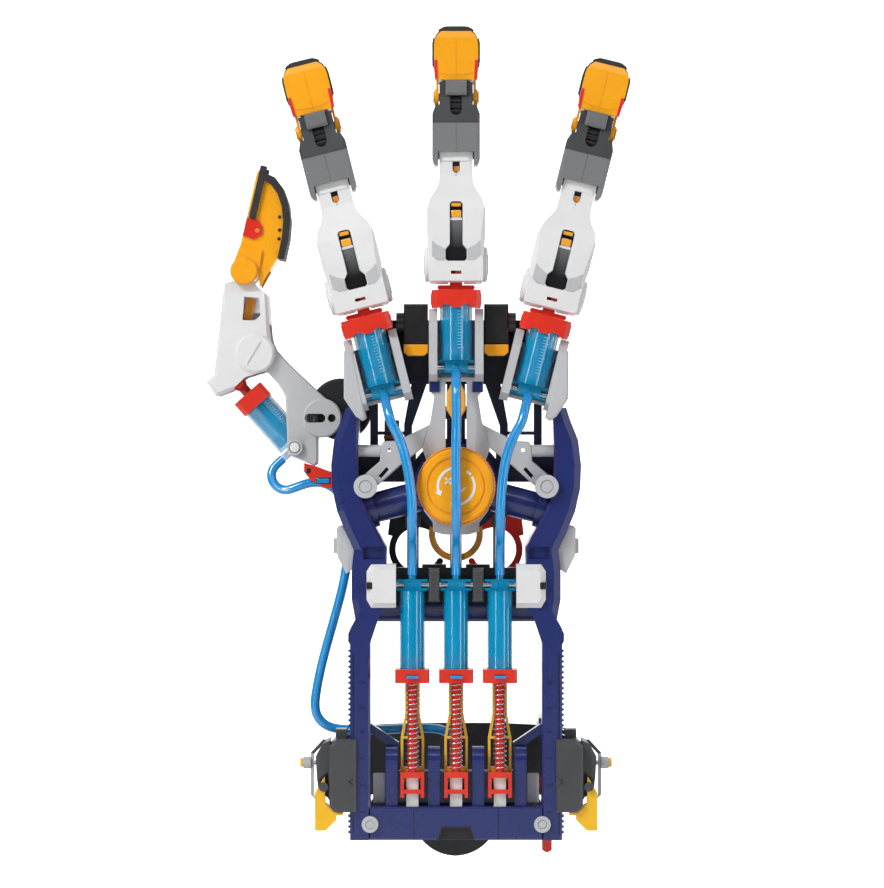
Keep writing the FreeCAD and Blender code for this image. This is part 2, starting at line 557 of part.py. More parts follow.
def slide_lock():
    """Amber block that rides in the slot of the centre bracket."""
    outline = both_sides([(2, 208.5), (4.8, 213), (4.8, 221), (2.2, 226.8)])
    return chamfered(plate(outline, -10.5, 0), 0.8, lambda c: c.y < -10)


# ---- knob and cuff ------------------------------------------------------------------------
def tension_knob():
    body = rod((0, KNOB_FRONT, HUB_Z), (0, KNOB_BACK, HUB_Z), KNOB_R)
    body = chamfered(body, 2.0, lambda c: c.y < KNOB_FRONT + 0.1)
    dish = ring((0, KNOB_FRONT - 1, HUB_Z), (0, KNOB_FRONT + 0.8, HUB_Z), 14.6, 13.4)
    stem = rod((0, KNOB_BACK, HUB_Z), (0, 11.5, HUB_Z), 4)
    return fuse(cut(body, dish), stem)


def cuff_slider():
    """Left slider: grips the outer side of the toothed rail."""
    outline = [(-59.4, SLIDER_LOW), (-62.7, SLIDER_LOW + 3.4), (-62.7, SLIDER_HIGH - 3.4), (-59.4, SLIDER_HIGH),
               (-54.5, SLIDER_HIGH), (-54.5, SLIDER_LOW)]
    block = plate(outline, -17, 12)
    lip = box(-54.6, -49.4, -17, RAIL_FRONT - GAP, SLIDER_LOW, SLIDER_HIGH)
    outer = plate([(-62.7, 19.5), (-68.6, 24), (-69.6, 41), (-66, 47.5), (-62.7, 49)], -11, 10)
    tab = box(-59.8, -54.5, -6, 4, SLIDER_HIGH, 54.2)
    body = chamfered(fuse(block, lip), 1.2, lambda c: c.y < -16.9)
    pocket = plate([(-63.4, 0), (-63.4, 33.5), (-70.5, 28), (-70.5, 0)], -14, -7.5)
    return cut(fuse(body, outer, tab), pocket, latch_pin())


def latch_pin():
    x, z = LATCH_PIVOT
    return fuse(rod((x, -14.6, z), (x, -4, z), 1.3), rod((x, -15.6, z), (x, -14.2, z), 2.3))


def cuff_bail():
    """Wire bail and its stud on the outer face of the left slider."""
    path = [(-66.3, 48.6), (-72.5, 42), (-72.5, 21), (-69, 17.5)]
    outline = path + [(x + 1.7, z - 0.6) for x, z in reversed(path)]
    wire = plate(outline, 0, 2.4)
    stud = rod((-76.2, 1.2, 37), (-72.4, 1.2, 37), 3)
    return fuse(wire, stud, box(-71.5, -69.2, 0, 2.4, 36, 38))


def cuff_latch():
    """Yellow release lever; it turns about a pin through the slider."""
    outline = [(-65, 31.5), (-69.9, 23.3), (-69.9, 4.7), (-64.5, 4.7), (-59.4, 9.8), (-59.4, 12.1), (-56, 12.4),
               (-56, 13.6), (-60, 13.6), (-63.1, 16.6), (-63.1, 17.2), (-64.7, 18)]
    x, z = LATCH_PIVOT
    return cut(plate(outline, -13.6, -7.9), rod((x, -20, z), (x, 0, z), 1.3 + FIT))


def cuff_shell():
    """U-shaped forearm cuff behind the frame, with a slot each side that clears the thumb's tube."""
    half_out, depth0, depth1 = 60.5, 12.0, 80.0
    wall = 3.0

    def outline(half, back, z0):
        path = [V(half, depth0, z0), V(half, 38, z0)]
        bend = Part.Arc(V(half, 38, z0), V(half * 0.76, 38 + (back - 38) * 0.66, z0), V(0, back, z0)).toShape()
        rest = Part.Arc(V(0, back, z0), V(-half * 0.76, 38 + (back - 38) * 0.66, z0), V(-half, 38, z0)).toShape()
        lines = [Part.LineSegment(path[0], path[1]).toShape(), bend, rest,
                 Part.LineSegment(V(-half, 38, z0), V(-half, depth0, z0)).toShape(),
                 Part.LineSegment(V(-half, depth0, z0), V(half, depth0, z0)).toShape()]
        return Part.Face(Part.Wire(lines))

    low, high = -19.4, SLIDER_HIGH
    band = outline(half_out, depth1, low).extrude(V(0, 0, high - low)).cut(
        outline(half_out - wall, depth1 - wall, low - 1).extrude(V(0, 0, high - low + 2)))
    lens = rod((0, 0, 39), (0, 120, 39), 48)
    tongue = rod((0, 0, 3.1), (0, 120, 3.1), 22.5)
    arms = box(-70, 70, 0, 120, SLIDER_LOW, high + 1)
    band = band.common(fuse(lens, arms, tongue))
    slots = [box(x0, x1, depth0 + 0.5, depth0 + 8, SLIDER_LOW + 7, high + 5) for x0, x1 in ((-70, -50), (50, 70))]
    return cut(band, *slots)


# ---- thumb --------------------------------------------------------------------------------
THUMB_AXIS = (-math.sin(math.radians(THUMB_LEAN)), math.cos(math.radians(THUMB_LEAN)))


def along_thumb(distance, sideways=0.0):
    """Point (x, z) on the thumb cylinder's axis, measured from its trunnion."""
    ux, uz = THUMB_AXIS
    return THUMB_FOOT[0] + ux * distance + uz * sideways, THUMB_FOOT[1] + uz * distance - ux * sideways


THUMB_LUG = 42.5                # trunnion to rod pin at rest


def thumb_proximal():
    outline = [(-116.5, 277), (-121.5, 230.6), (-125.6, 227.5), (-120.5, 219.8), (-112.8, 222.8), (-106, 229.5),
               (-95, 233), (-91.5, 241.5), (-93.5, 252), (-94.6, 270.8), (-101, 276.2), (-103, 281)]
    lower = plate(outline, -14.6, 14.6)
    lower = chamfered(lower, 1.6, lambda c: abs(c.y) > 14 and (c.x < -112 or c.x > -96))
    disc = rod((THUMB_KNUCKLE[0], -16.4, THUMB_KNUCKLE[1]), (THUMB_KNUCKLE[0], 16.4, THUMB_KNUCKLE[1]), 10)
    disc = chamfered(disc, 1.2, lambda c: abs(c.y) > 16)
    head = rod((THUMB_TIP[0], -8.6, THUMB_TIP[1]), (THUMB_TIP[0], 8.6, THUMB_TIP[1]), 6.6)
    body = fuse(lower, disc)
    for side in (1, -1):
        shoulder = box(-130, -85, 8.6, 20, 272.5, 300) if side > 0 else box(-130, -85, -20, -8.6, 272.5, 300)
        clear = rod((THUMB_TIP[0], side * 8.6, THUMB_TIP[1]), (THUMB_TIP[0], side * 20, THUMB_TIP[1]), 11.2)
        body = cut(body, shoulder, clear)
    body = fuse(body, head)
    ux, uz = THUMB_AXIS
    inside = plate([(-118, 226), (-117, 262), (-99, 262), (-88, 250), (-86, 224), (-112, 212), (-124, 222)],
                   -12.4, 12.4)
    window = plate([(-106.4, 270), (-98.8, 269.4), (-98.2, 260.5), (-101, 258), (-107.2, 258.2)], -20, -8)
    face_slot = plate([(-104.6, 236.6), (-103.6, 235.6), (-97.2, 246.4), (-98.2, 247.4)], -17, -15.7)
    pin_x, pin_z = along_thumb(THUMB_LUG)
    far_x, far_z = along_thumb(THUMB_LUG + 0.5, 1.6)
    knuckle = THUMB_KNUCKLE
    radial = V(pin_x - knuckle[0], 0, pin_z - knuckle[1])
    unit = V(radial).normalize()
    slot_ends = [V(pin_x, 0, pin_z) + unit * d for d in (-1.4, 0.3)]
    holes = [rod((p.x, -13.6, p.z), (p.x, 13.6, p.z), 1.8 + GAP) for p in slot_ends]
    n = V(-unit.z, 0, unit.x) * (1.8 + GAP)
    quad = [(slot_ends[0] + n), (slot_ends[1] + n), (slot_ends[1] - n), (slot_ends[0] - n)]
    holes.append(plate([(p.x, p.z) for p in quad], -13.6, 13.6))
    axle = rod((knuckle[0], -15, knuckle[1]), (knuckle[0], 15, knuckle[1]), PIN_R + FIT)
    tip_hole = rod((THUMB_TIP[0], -10, THUMB_TIP[1]), (THUMB_TIP[0], 10, THUMB_TIP[1]), PIN_R + FIT)
    return [cut(body, inside, window, face_slot, axle, tip_hole, *holes)]


THUMB_CORE = [(-5, 8), (-5, 50), (-3.6, 52), (-1, 47), (3.2, 45.6), (7.6, 41.6), (11, 36), (13.4, 29), (14.6, 21),
              (14.8, 10), (11.6, 1), (9.4, -6.6), (6.6, 2), (4.5, 8)]
THUMB_SKIN = [(-1.2, 50.6), (4.6, 49.4), (9.6, 45.2), (14, 38.2), (16.8, 30), (18.1, 21), (18.2, 10)]


def thumb_place(shapes):
    """From the fingertip's own frame (x towards the pad, z along the tip) to the hand."""
    return placed(shapes, THUMB_TIP[0], THUMB_TIP[1], THUMB_TIP_LEAN)


def thumb_tip():
    core = plate(THUMB_CORE, -9.6, 9.6)
    core = chamfered(core, 1.0, lambda c: abs(c.y) > 9 and c.x < 0 and 10 < c.z < 46)
    ears = []
    for side in (1, -1):
        ear = plate([(-5, 12), (6.4, 12), (7, 3), (4, -3), (-4, -4), (-6.6, 0)], side * 9.0, side * 11)
        cap = rod((0, side * 9.0, 0), (0, side * 13.2, 0), 7)
        ears += [ear, chamfered(cap, 0.9, lambda c: abs(c.y) > 13)]
    swept = rod((0, -9.0, 0), (0, 9.0, 0), 7.2)
    guard = plate([(-6, -9), (20, -9), (20, 0), (8.4, 4.6), (5, 8.4), (-6, 8.4)], -9.0, 9.0)
    tip = fuse(cut(core, swept, guard), *ears)
    tip = cut(tip, rod((0, -11, 0), (0, 11, 0), PIN_R), plate([(2, 14), (2, 38), (8, 34), (9.4, 16)], -7.5, 7.5))
    return thumb_place([tip, rod((0, -11, 0), (0, 11, 0), PIN_R)])


def thumb_pad():
    inner = [p for p in THUMB_CORE if p in ((-1, 47), (3.2, 45.6), (7.6, 41.6), (11, 36), (13.4, 29), (14.6, 21),
                                            (14.8, 10))]
    band = plate(THUMB_SKIN + inner[::-1], -11.8, 11.8)
    strips = []
    for side in (1, -1):
        strip = plate([(-3.8, 26.8), (-3.8, 53.8), (-0.4, 53.8), (-0.4, 26.8)], side * 9.6, side * 11.8)
        strips.append(strip)
    return thumb_place([fuse(band, *strips)])


def thumb_rod():
    """Piston rod of the thumb cylinder at rest."""
    pin = along_thumb(THUMB_LUG)
    shaft = rod((*along_thumb(7)[:1], 0, along_thumb(7)[1]), (pin[0], 0, pin[1]), 2.6)
    eye = rod((pin[0], -4, pin[1]), (pin[0], 4, pin[1]), 3.4)
    cross = rod((pin[0], -13.2, pin[1]), (pin[0], 13.2, pin[1]), 1.8)
    low, high = along_thumb(5), along_thumb(10)
    piston = rod((low[0], 0, low[1]), (high[0], 0, high[1]), 6.65)
    start = along_thumb(7)
    piston = piston.cut(rod((start[0], 0, start[1]), (pin[0], 0, pin[1]), 2.6))
    return [fuse(shaft, eye, cross), piston]


def thumb_cylinder():
    def at(distance):
        x, z = along_thumb(distance)
        return x, 0, z

    barrel = ring(at(4.6), at(30), 8.1, 6.7)
    end = rod(at(2.6), at(4.6), 8.1)
    eye = rod((THUMB_FOOT[0], -8.8, THUMB_FOOT[1]), (THUMB_FOOT[0], 8.8, THUMB_FOOT[1]), 3.4)
    spout_from, spout_to = along_thumb(0, -2), along_thumb(0, -8.7)
    spout = rod((spout_from[0], 0, spout_from[1]), (spout_to[0], 0, spout_to[1]), 1.9)
    hole = rod((THUMB_FOOT[0], -9, THUMB_FOOT[1]), (THUMB_FOOT[0], 9, THUMB_FOOT[1]), 1.65)
    return [cut(fuse(barrel, end, eye, spout), hole)]


def thumb_collar():
    body = chamfered(box(-8.6, 8.6, -11.2, 11.2, 28.4, 36.4), 2.0, lambda c: abs(c.x) > 8 and abs(c.y) > 11)
    mouth = rod((0, 0, 28.4), (0, 0, 30), 8.1)
    body = cut(body, mouth, rod((0, 0, 28), (0, 0, 40), 2.6 + FIT))
    return placed([body], THUMB_FOOT[0], THUMB_FOOT[1], -THUMB_LEAN)


def thumb_bracket():
    """Two grey plates either side of the thumb cylinder, joined at the drum."""
    outline = [(-94.4, 231.7), (-89.5, 226.3), (-85.7, 219.8), (-84.6, 190.5), (-71, 185), (-69.5, 187),
               (-69.5, 200), (-60, 203), (-58, 212), (-69, 222), (-84.6, 236.6), (-93, 246), (-103, 248),
               (-107, 240), (-102, 234)]
    arm = plate(outline, -12, -9)
    arm = chamfered(arm, 0.7, lambda c: c.y < -11.9)
    disc = chamfered(rod((-67.2, -13.6, 209), (-67.2, -9, 209), 9.8), 0.7, lambda c: c.y < -13.5)
    front = fuse(arm, disc)
    slot = fuse(box(-73.8, -67.8, -14, -8, 206.8, 211.2), rod((-73.8, -14, 209), (-73.8, -8, 209), 2.2),
                rod((-67.8, -14, 209), (-67.8, -8, 209), 2.2))
    hole = rod((-62.4, -14, 209), (-62.4, -8, 209), 2.0)
    back = plate(outline, 9, 12)
    tie = box(-72.5, -69.5, -9, 9, 186, 199)
    tools = [rod((x, -20, z), (x, 20, z), r) for x, z, r in ((*THUMB_KNUCKLE, PIN_R), (*THUMB_FOOT, 1.65))]
    return cut(fuse(front, back, tie), slot, hole, *tools)


def thumb_drum():
    y0, y1 = THUMB_Y - 8.9, THUMB_Y + 8.9
    drum = chamfered(rod((-58, y0, 213.5), (-58, y1, 213.5), 15.6), 1.2, lambda c: c.y < y0 + 0.1 or c.y > y1 - 0.1)
    foot = box(-60, -48.5, RAIL_BACK + 4, y1 - 4, 192, 212)
    return fuse(drum, foot)


def thumb_pins():
    cap = fuse(rod((THUMB_FOOT[0], -14.6, THUMB_FOOT[1]), (THUMB_FOOT[0], -12, THUMB_FOOT[1]), 4),
               rod((THUMB_FOOT[0], -12, THUMB_FOOT[1]), (THUMB_FOOT[0], 12, THUMB_FOOT[1]), 1.65))
    axle = rod((THUMB_KNUCKLE[0], -14.8, THUMB_KNUCKLE[1]), (THUMB_KNUCKLE[0], 14.8, THUMB_KNUCKLE[1]), PIN_R)
    return [cap, axle]


def tube_clip():
    """Red saddle on the side frame that the thumb's tube runs through."""
    outline = [(-76.4, 186.4), (-70, 184.6), (-60, 181), (-60, 173.6), (-66, 174), (-73.4, 178.2), (-76.4, 182)]
    return plate(outline, RAIL_BACK + 4, THUMB_Y - 1)


def thumb_feed():
    """Input cylinder of the thumb, across the back of the wrist base."""
    y, z = LEVER_PIVOT[1], LEVER_PIVOT[2] - LEVER_ARM
    barrel = ring((-1, y, z), (20, y, z), FEED_R, FEED_BORE)
    end = rod((-3, y, z), (-1, y, z), FEED_R)
    spout = rod((1.2, y, z + FEED_R - 0.4), (1.2, y, THUMB_FEED_TOP), 1.9)
    port = cut(fuse(barrel, end, spout), rod((-1, y, z), (20, y, z), FEED_BORE))
    collar = cut(box(18.6, 25.4, y - 6.9, y + 6.9, z - 8.5, z + 8.5), rod((18.6, y, z), (20, y, z), FEED_R),
                 rod((10, y, z), (30, y, z), 2.6))
    saddle = cut(box(-2.8, 17.6, 20.5, y, z - 8.4, z - 2), rod((-10, y, z), (40, y, z), FEED_R))
    return port, collar, saddle


def thumb_plunger():
    y, z = LEVER_PIVOT[1], LEVER_PIVOT[2] - LEVER_ARM
    ribs = fuse(box(12, 41, y - 0.7, y + 0.7, z - 2.3, z + 2.3), box(12, 41, y - 2.3, y + 2.3, z - 0.7, z + 0.7))
    shoe = box(39.6, 43.4, y - 4.4, y + 4.4, z - 2.3, z + 2.3)
    piston = cut(rod((11, y, z), (15.6, y, z), FEED_BORE - FIT), box(12, 41, y - 0.7, y + 0.7, z - 2.3, z + 2.3),
                 box(12, 41, y - 2.3, y + 2.3, z - 0.7, z + 0.7))
    return [fuse(ribs, shoe), piston]


def thumb_lever():
    """Red lever behind the right rail; the wearer's thumb pushes its lower end."""
    x, y, z = LEVER_PIVOT
    eye = rod((x, y - 5, z), (x, y + 5, z), 5)
    bar = box(x - 2.3, x + 2.5, y - 5, y + 5, -9.5, z)
    tip = rod((x + 0.1, y - 5, -8), (x + 0.1, y + 5, -8), 2.4)
    return [cut(fuse(eye, bar, tip), rod((x, y - 8, z), (x, y + 8, z), PIN_R + FIT))]


def lever_mount():
    """Ears behind the right rail that hold the lever's pin."""
    x, y, z = LEVER_PIVOT
    ears = [box(x - 4.5, x + 4.5, y0, y1, z - 4.5, z + 5.5) for y0, y1 in ((RAIL_BACK, y - 5.4), (y + 5.4, y + 8.4))]
    strap = box(x - 4.5, x + 4.5, RAIL_BACK, y + 8.4, z + 5.5, z + 8.5)
    return cut(fuse(*ears, strap), rod((x, 0, z), (x, 60, z), PIN_R))


def lever_pin():
    x, y, z = LEVER_PIVOT
    return rod((x, y - 9, z), (x, y + 8.4, z), PIN_R)


# ---- water tubes --------------------------------------------------------------------------
def tube(points, name):
    """Straight runs joined by tangent arcs, swept with the tube's round section."""
    points = [V(*p) for p in points]
    edges, here, tightest = [], points[0], 1e9
    for before, corner, after in zip(points, points[1:], points[2:]):
        a, b = corner - before, after - corner
        turn = a.getAngle(b)
        reach = 0.45 * min(a.Length, b.Length)
        tightest = min(tightest, reach / math.tan(turn / 2))
        start = corner - V(a).normalize() * reach
        end = corner + V(b).normalize() * reach
        inward = (V(b).normalize() - V(a).normalize()).normalize()
        radius = reach / math.tan(turn / 2)
        middle = corner + inward * (radius / math.cos(turn / 2) - radius)
        edges += [Part.LineSegment(here, start).toShape(), Part.Arc(start, middle, end).toShape()]
        here = end
    edges.append(Part.LineSegment(here, points[-1]).toShape())
    path = Part.Wire(edges)
    disc = Part.Wire(Part.makeCircle(TUBE_R, points[0], points[1] - points[0]))
    solid = path.makePipeShell([disc], True, False)
    share = solid.Volume / (math.pi * TUBE_R ** 2 * path.Length)
    print(f"{name}: {path.Length:.1f} mm, tightest radius {tightest:.1f} mm, volume share {share:.4f}")
    return solid


def finger_point(name, y, z):
    """A point given in a finger's own frame, moved to the hand."""
    x0, z0, tilt = KNUCKLES[name]
    t = math.radians(tilt)
    return x0 + z * math.sin(t), y, z0 + z * math.cos(t)


TUBE_FRONT = -24.4              # tube axis where it passes over the knob
TUBE_STEPS = (18, 36, 54, 36, 18)


def finger_tube(name):
    """Tube from an input cylinder, over the knob, to the finger's own cylinder."""
    feed = FEED_X[name]
    side = (feed > 0) - (feed < 0)
    y, z = CYLINDER_Y, 137.5
    low = [(feed, y, 131), (feed, y, z)]
    stride = (CYLINDER_Y - TUBE_FRONT) / sum(math.sin(math.radians(a)) for a in TUBE_STEPS)
    for angle in TUBE_STEPS:
        y -= stride * math.sin(math.radians(angle))
        z += stride * math.cos(math.radians(angle))
        low.append((feed, y, z))
    middle = [(side * (22.0 if side else 1) + 0.1, TUBE_FRONT - 0.2, 171), (side * 24.1 - 0.3, TUBE_FRONT - 0.4, 188)]
    if side:
        middle.append((side * 28.4, TUBE_FRONT - 0.3, 200.5))
    else:
        middle.append((0.2, TUBE_FRONT - 0.2, 206))
    high = []
    y, z = SPOUT_END
    for angle in (SPOUT_DROP, 55, 73, 87):
        high.append(finger_point(name, y, z))
        reach = 5.4 if angle < 80 else 7.5
        y -= reach * math.cos(math.radians(angle))
        z -= reach * math.sin(math.radians(angle))
    return tube([*low, *middle, *high[::-1]], f"{name}_tube")


def thumb_tube():
    """Tube from the thumb's input cylinder, behind the left side frame, to the thumb's own cylinder."""
    x, z = along_thumb(0, -8.7)
    route = [(x, THUMB_Y, z)]
    y, heading = THUMB_Y - 0.6, 180 + math.degrees(math.atan2(-THUMB_AXIS[0], THUMB_AXIS[1]))
    x, z = x + 6 * math.cos(math.radians(heading)), z + 6 * math.sin(math.radians(heading))
    for _ in range(7):
        route.append((x, y, z))
        heading += 26
        x, z = x + 3.4 * math.cos(math.radians(heading)), z + 3.4 * math.sin(math.radians(heading))
        y -= 1.0
    feed_y = LEVER_PIVOT[1]
    route += [(-73, 17.2, 176.9), (-65.5, 17.4, 176.2), (-59.2, 17.6, 172), (-55.6, 17.6, 164.5), (-54.4, 17.4, 153),
              (-54.4, 16.8, 140), (-56.4, 16, 126), (-61.2, 15.6, 108), (-66.4, 15.6, 90), (-70, 15.6, 74),
              (-71.4, 15.6, 62.4), (-68.2, 15.6, 56), (-62, 15.7, 52.6), (-53, 16.4, 52), (-40, 18.6, 51.6),
              (-26, 22.2, 52), (-14, 24.4, 52.2), (-7, 25.6, 51.2), (-1.8, feed_y, 48.2), (1.2, feed_y, 43),
              (1.2, feed_y, THUMB_FEED_TOP)]
    return tube(route, "thumb_tube")


# ---- assembly -----------------------------------------------------------------------------
def build():
    nodes = {}
    for name, place in KNUCKLES.items():
        nodes[f"{name}_proximal"] = placed(finger_proximal(), *place)
        nodes[f"{name}_middle"] = placed(finger_middle(), *place)
        nodes[f"{name}_tip"] = placed(finger_tip(), *place)
        nodes[f"{name}_pad"] = placed(finger_pad(), *place)
        nodes[f"{name}_rod"] = placed(finger_rod(), *place)
        nodes[f"{name}_plunger"] = feed_plunger(FEED_X[name])
        nodes[f"{name}_loop"] = finger_loop(name)
        nodes[f"{name}_tube"] = [finger_tube(name)]

    nodes["thumb_proximal"] = deeper(thumb_proximal(), THUMB_Y)
    nodes["thumb_tip"] = deeper(thumb_tip(), THUMB_Y)
    nodes["thumb_pad"] = deeper(thumb_pad(), THUMB_Y)
    nodes["thumb_rod"] = deeper(thumb_rod(), THUMB_Y)
    nodes["thumb_plunger"] = thumb_plunger()
    nodes["thumb_lever"] = thumb_lever()
    nodes["thumb_tube"] = [thumb_tube()]

    cylinders = [s for place in KNUCKLES.values() for s in placed(finger_cylinder(), *place)]
    collars = [s for place in KNUCKLES.values() for s in placed(finger_collar(), *place)]
    nodes["finger_cylinders"] = cylinders + deeper(thumb_cylinder(), THUMB_Y)

    port, feed_clamp, saddle = thumb_feed()
    barrels, clamps = [], []
    for x in FEED_X.values():
        clamp, barrel_end = feed_collar(x)
        barrels.append(fuse(feed_barrel(x), barrel_end))
        clamps.append(clamp)
    nodes["input_cylinders"] = barrels + [port]
    nodes["cylinder_collars"] = collars + deeper(thumb_collar(), THUMB_Y) + clamps + [feed_clamp]
    nodes["spring_guides"] = [spring_guide(x) for x in FEED_X.values()]
    for name, x in FEED_X.items():
        nodes[f"{name}_spring"] = [spring(x, CYLINDER_Y, 33.5, 77.7, 18, 3.1, 0.32)]

    trunnions = [placed([trunnion_pin()], *place)[0] for place in KNUCKLES.values()]
    axles = [placed([knuckle_axle()], *place)[0] for place in KNUCKLES.values()]
    feed_axle = rod((-36, CYLINDER_Y, FEED_AXLE_Z), (36, CYLINDER_Y, FEED_AXLE_Z), 1.4)
    nodes["steel_pins"] = trunnions + axles + deeper(thumb_pins(), THUMB_Y) + [feed_axle, lever_pin(), *roller_axles()] + rollers()

    blocks = pair(end_block())
    blocks = [cut(b, feed_axle) for b in blocks]
    nodes["axle_blocks"] = blocks + [cut(s, feed_axle) for s in spacers()]
    caps = button_caps()
    nodes["side_buttons"] = caps + pair(side_wing())
    shields = pair(index_shield())
    outer_brackets = [placed([finger_bracket()], *KNUCKLES[n])[0] for n in ("index", "ring")]
    nodes["finger_brackets"] = [fuse(b, s).cut(blocks) for b, s in zip(outer_brackets, shields)]
    nodes["centre_bracket"] = [centre_bracket().cut(trunnions + axles)]
    links = [cut(link, *caps) for link in pair(side_link())]
    stays = pair(stay())
    nodes["side_links"] = [cut(link, *stays, *nodes["centre_bracket"]) for link in links] + stays

    nodes["lock_blocks"] = pair(lock_block()) + pair(lock_knob())
    nodes["slide_locks"] = pair(lock_cap()) + [slide_lock()]
    nodes["tension_knob"] = [tension_knob()]
    nodes["hub"] = [hub()]
    nodes["thumb_bracket"] = deeper([thumb_bracket()], THUMB_Y)
    nodes["tube_clip"] = [tube_clip()]
    nodes["syringe_crossbar"] = [crossbar()]
    nodes["wrist_base"] = [fuse(wrist_base(), saddle)]
    nodes["thumb_drum"] = [thumb_drum()]
    nodes["palm_frame"] = [palm_frame()]

    bodies = pair(side_frame())
    bodies[1] = fuse(bodies[1], lever_mount())
    nodes["left_side_frame"], nodes["right_side_frame"] = [bodies[0]], [bodies[1]]

    nodes["cuff_sliders"] = pair(cuff_slider()) + pair(cuff_bail()) + pair(latch_pin())
    nodes["cuff_shell"] = [cuff_shell()]
    nodes["left_latch"], nodes["right_latch"] = [cuff_latch()], [mirrored(cuff_latch())]
    return nodes


# Fixed pieces that share a place give way to the ones before them in this list.
FIXED_ORDER = ["steel_pins", "finger_cylinders", "input_cylinders", "cylinder_collars", "thumb_tube",
               "axle_blocks", "side_buttons", "finger_brackets", "centre_bracket", "side_links", "lock_blocks",
               "slide_locks", "spring_guides", "thumb_bracket", "tube_clip", "left_side_frame", "right_side_frame",
               "hub", "syringe_crossbar", "wrist_base", "thumb_drum", "palm_frame"]


def settle(nodes):
    """Cuts each fixed piece back where an earlier one already is, so that they only touch."""
    for i, name in enumerate(FIXED_ORDER):
        for other in FIXED_ORDER[:i]:
            for index, shape in enumerate(nodes[name]):
                for tool in nodes[other]:
                    if shape.BoundBox.intersect(tool.BoundBox) and shape.common(tool).Volume > 1e-4:
                        shape = shape.cut(tool)
                nodes[name][index] = shape
    return nodes


def main():
    os.makedirs("parts", exist_ok=True)
    for old in os.listdir("parts"):
        os.remove(os.path.join("parts", old))
    nodes = settle(build())
    for name, shapes in nodes.items():
        solids = [s for shape in shapes for s in shape.Solids if s.Volume > 0.5]
        compound = Part.makeCompound(solids) if len(solids) > 1 else solids[0]
        compound.translate(V(0, -FOREARM_DEPTH, 0))
        compound.exportStep(f"parts/{name}.step")
    print(len(nodes), "nodes")


main()
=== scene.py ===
import math

import bmesh
import bpy
from mathutils import Matrix, Vector


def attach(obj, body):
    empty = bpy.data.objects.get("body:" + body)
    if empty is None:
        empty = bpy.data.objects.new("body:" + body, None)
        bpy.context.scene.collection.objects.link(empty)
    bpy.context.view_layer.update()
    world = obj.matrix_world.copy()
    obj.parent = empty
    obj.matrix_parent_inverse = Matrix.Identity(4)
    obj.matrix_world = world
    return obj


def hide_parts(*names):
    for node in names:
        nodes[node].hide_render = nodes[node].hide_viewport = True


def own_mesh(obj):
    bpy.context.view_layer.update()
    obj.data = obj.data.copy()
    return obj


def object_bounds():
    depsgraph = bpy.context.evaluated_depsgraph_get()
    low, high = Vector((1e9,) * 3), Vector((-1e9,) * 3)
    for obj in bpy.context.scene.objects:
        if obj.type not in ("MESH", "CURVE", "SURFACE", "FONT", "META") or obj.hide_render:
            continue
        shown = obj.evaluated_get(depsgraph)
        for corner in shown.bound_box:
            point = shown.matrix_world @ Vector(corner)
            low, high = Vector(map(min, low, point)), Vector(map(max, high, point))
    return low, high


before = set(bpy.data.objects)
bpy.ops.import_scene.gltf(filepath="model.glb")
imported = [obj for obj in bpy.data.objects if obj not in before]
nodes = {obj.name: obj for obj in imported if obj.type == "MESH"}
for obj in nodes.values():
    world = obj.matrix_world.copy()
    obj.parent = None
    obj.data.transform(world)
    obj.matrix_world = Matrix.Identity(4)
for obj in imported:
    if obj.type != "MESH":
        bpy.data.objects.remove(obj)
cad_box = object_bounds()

MM = 0.001
DEPTH = 55.0                    # the design plane lies this far in front of the forearm axis
scene = bpy.context.scene

KNUCKLES = {"index": (-48.5, 272.0, -14.0), "middle": (0.0, 285.5, 0.0), "ring": (48.5, 272.0, 14.0)}
FEED_X = {"index": -21.7, "middle": 0.0, "ring": 21.7}
CYLINDER_Y = -9.0
HUB_Z = 175.2
KNOB_FACE = -20.4
MID_PIVOT, TIP_PIVOT = 54.5, 83.5
THUMB_Y = 24.5
THUMB_TIP = (-106.5, 283.0)
THUMB_TIP_LEAN = 12.9
THUMB_FOOT = (-81.0, 194.3)
THUMB_LEAN = math.degrees(math.atan2(22.6, 25.5))
X_AXIS, Y_AXIS, Z_AXIS = (1, 0, 0), (0, 1, 0), (0, 0, 1)


# ---- camera ---------------------------------------------------------------------------------
def point(x, y, z):
    """Hand coordinates in millimetres to the row frame in metres."""
    return Vector((x, y - DEPTH, z)) * MM


CAMERA_PLACE, LENS_MM = (-7.0, -1600.0, 196.0), 130.0
camera = bpy.data.objects.new("camera", bpy.data.cameras.new("camera"))
scene.collection.objects.link(camera)
camera.location = point(*CAMERA_PLACE)
camera.rotation_euler = (math.radians(90), 0, 0)
camera.data.lens = LENS_MM
camera.data.sensor_width = 36.0
camera.data.clip_end = 20.0
scene.camera = camera


# ---- materials ------------------------------------------------------------------------------
def new_material(name):
    material = bpy.data.materials.new(name)
    material.use_nodes = True
    tree = material.node_tree
    shader = tree.nodes["Principled BSDF"]
    return material, tree, shader


def noise(tree, coords, scale, detail=3.0, roughness=0.55):
    made = tree.nodes.new("ShaderNodeTexNoise")
    made.inputs["Scale"].default_value = scale
    made.inputs["Detail"].default_value = detail
    made.inputs["Roughness"].default_value = roughness
    tree.links.new(coords, made.inputs["Vector"])
    return made


def remap(tree, value, low, high, to_low, to_high):
    made = tree.nodes.new("ShaderNodeMapRange")
    for socket, number in (("From Min", low), ("From Max", high), ("To Min", to_low), ("To Max", to_high)):
        made.inputs[socket].default_value = number
    tree.links.new(value, made.inputs["Value"])
    return made.outputs["Result"]


def shade(color, factor):
    return tuple(min(1.0, c * factor) for c in color[:3]) + (1.0,)


WORN_AND_LIT_EDGES = {}                      # material name to the paler material of its edges: edge wear and painted highlight
# tone the edges are paled towards: partly edge wear, partly a painted highlight
EDGE_WEAR_AND_HIGHLIGHT_TONE = 0.75


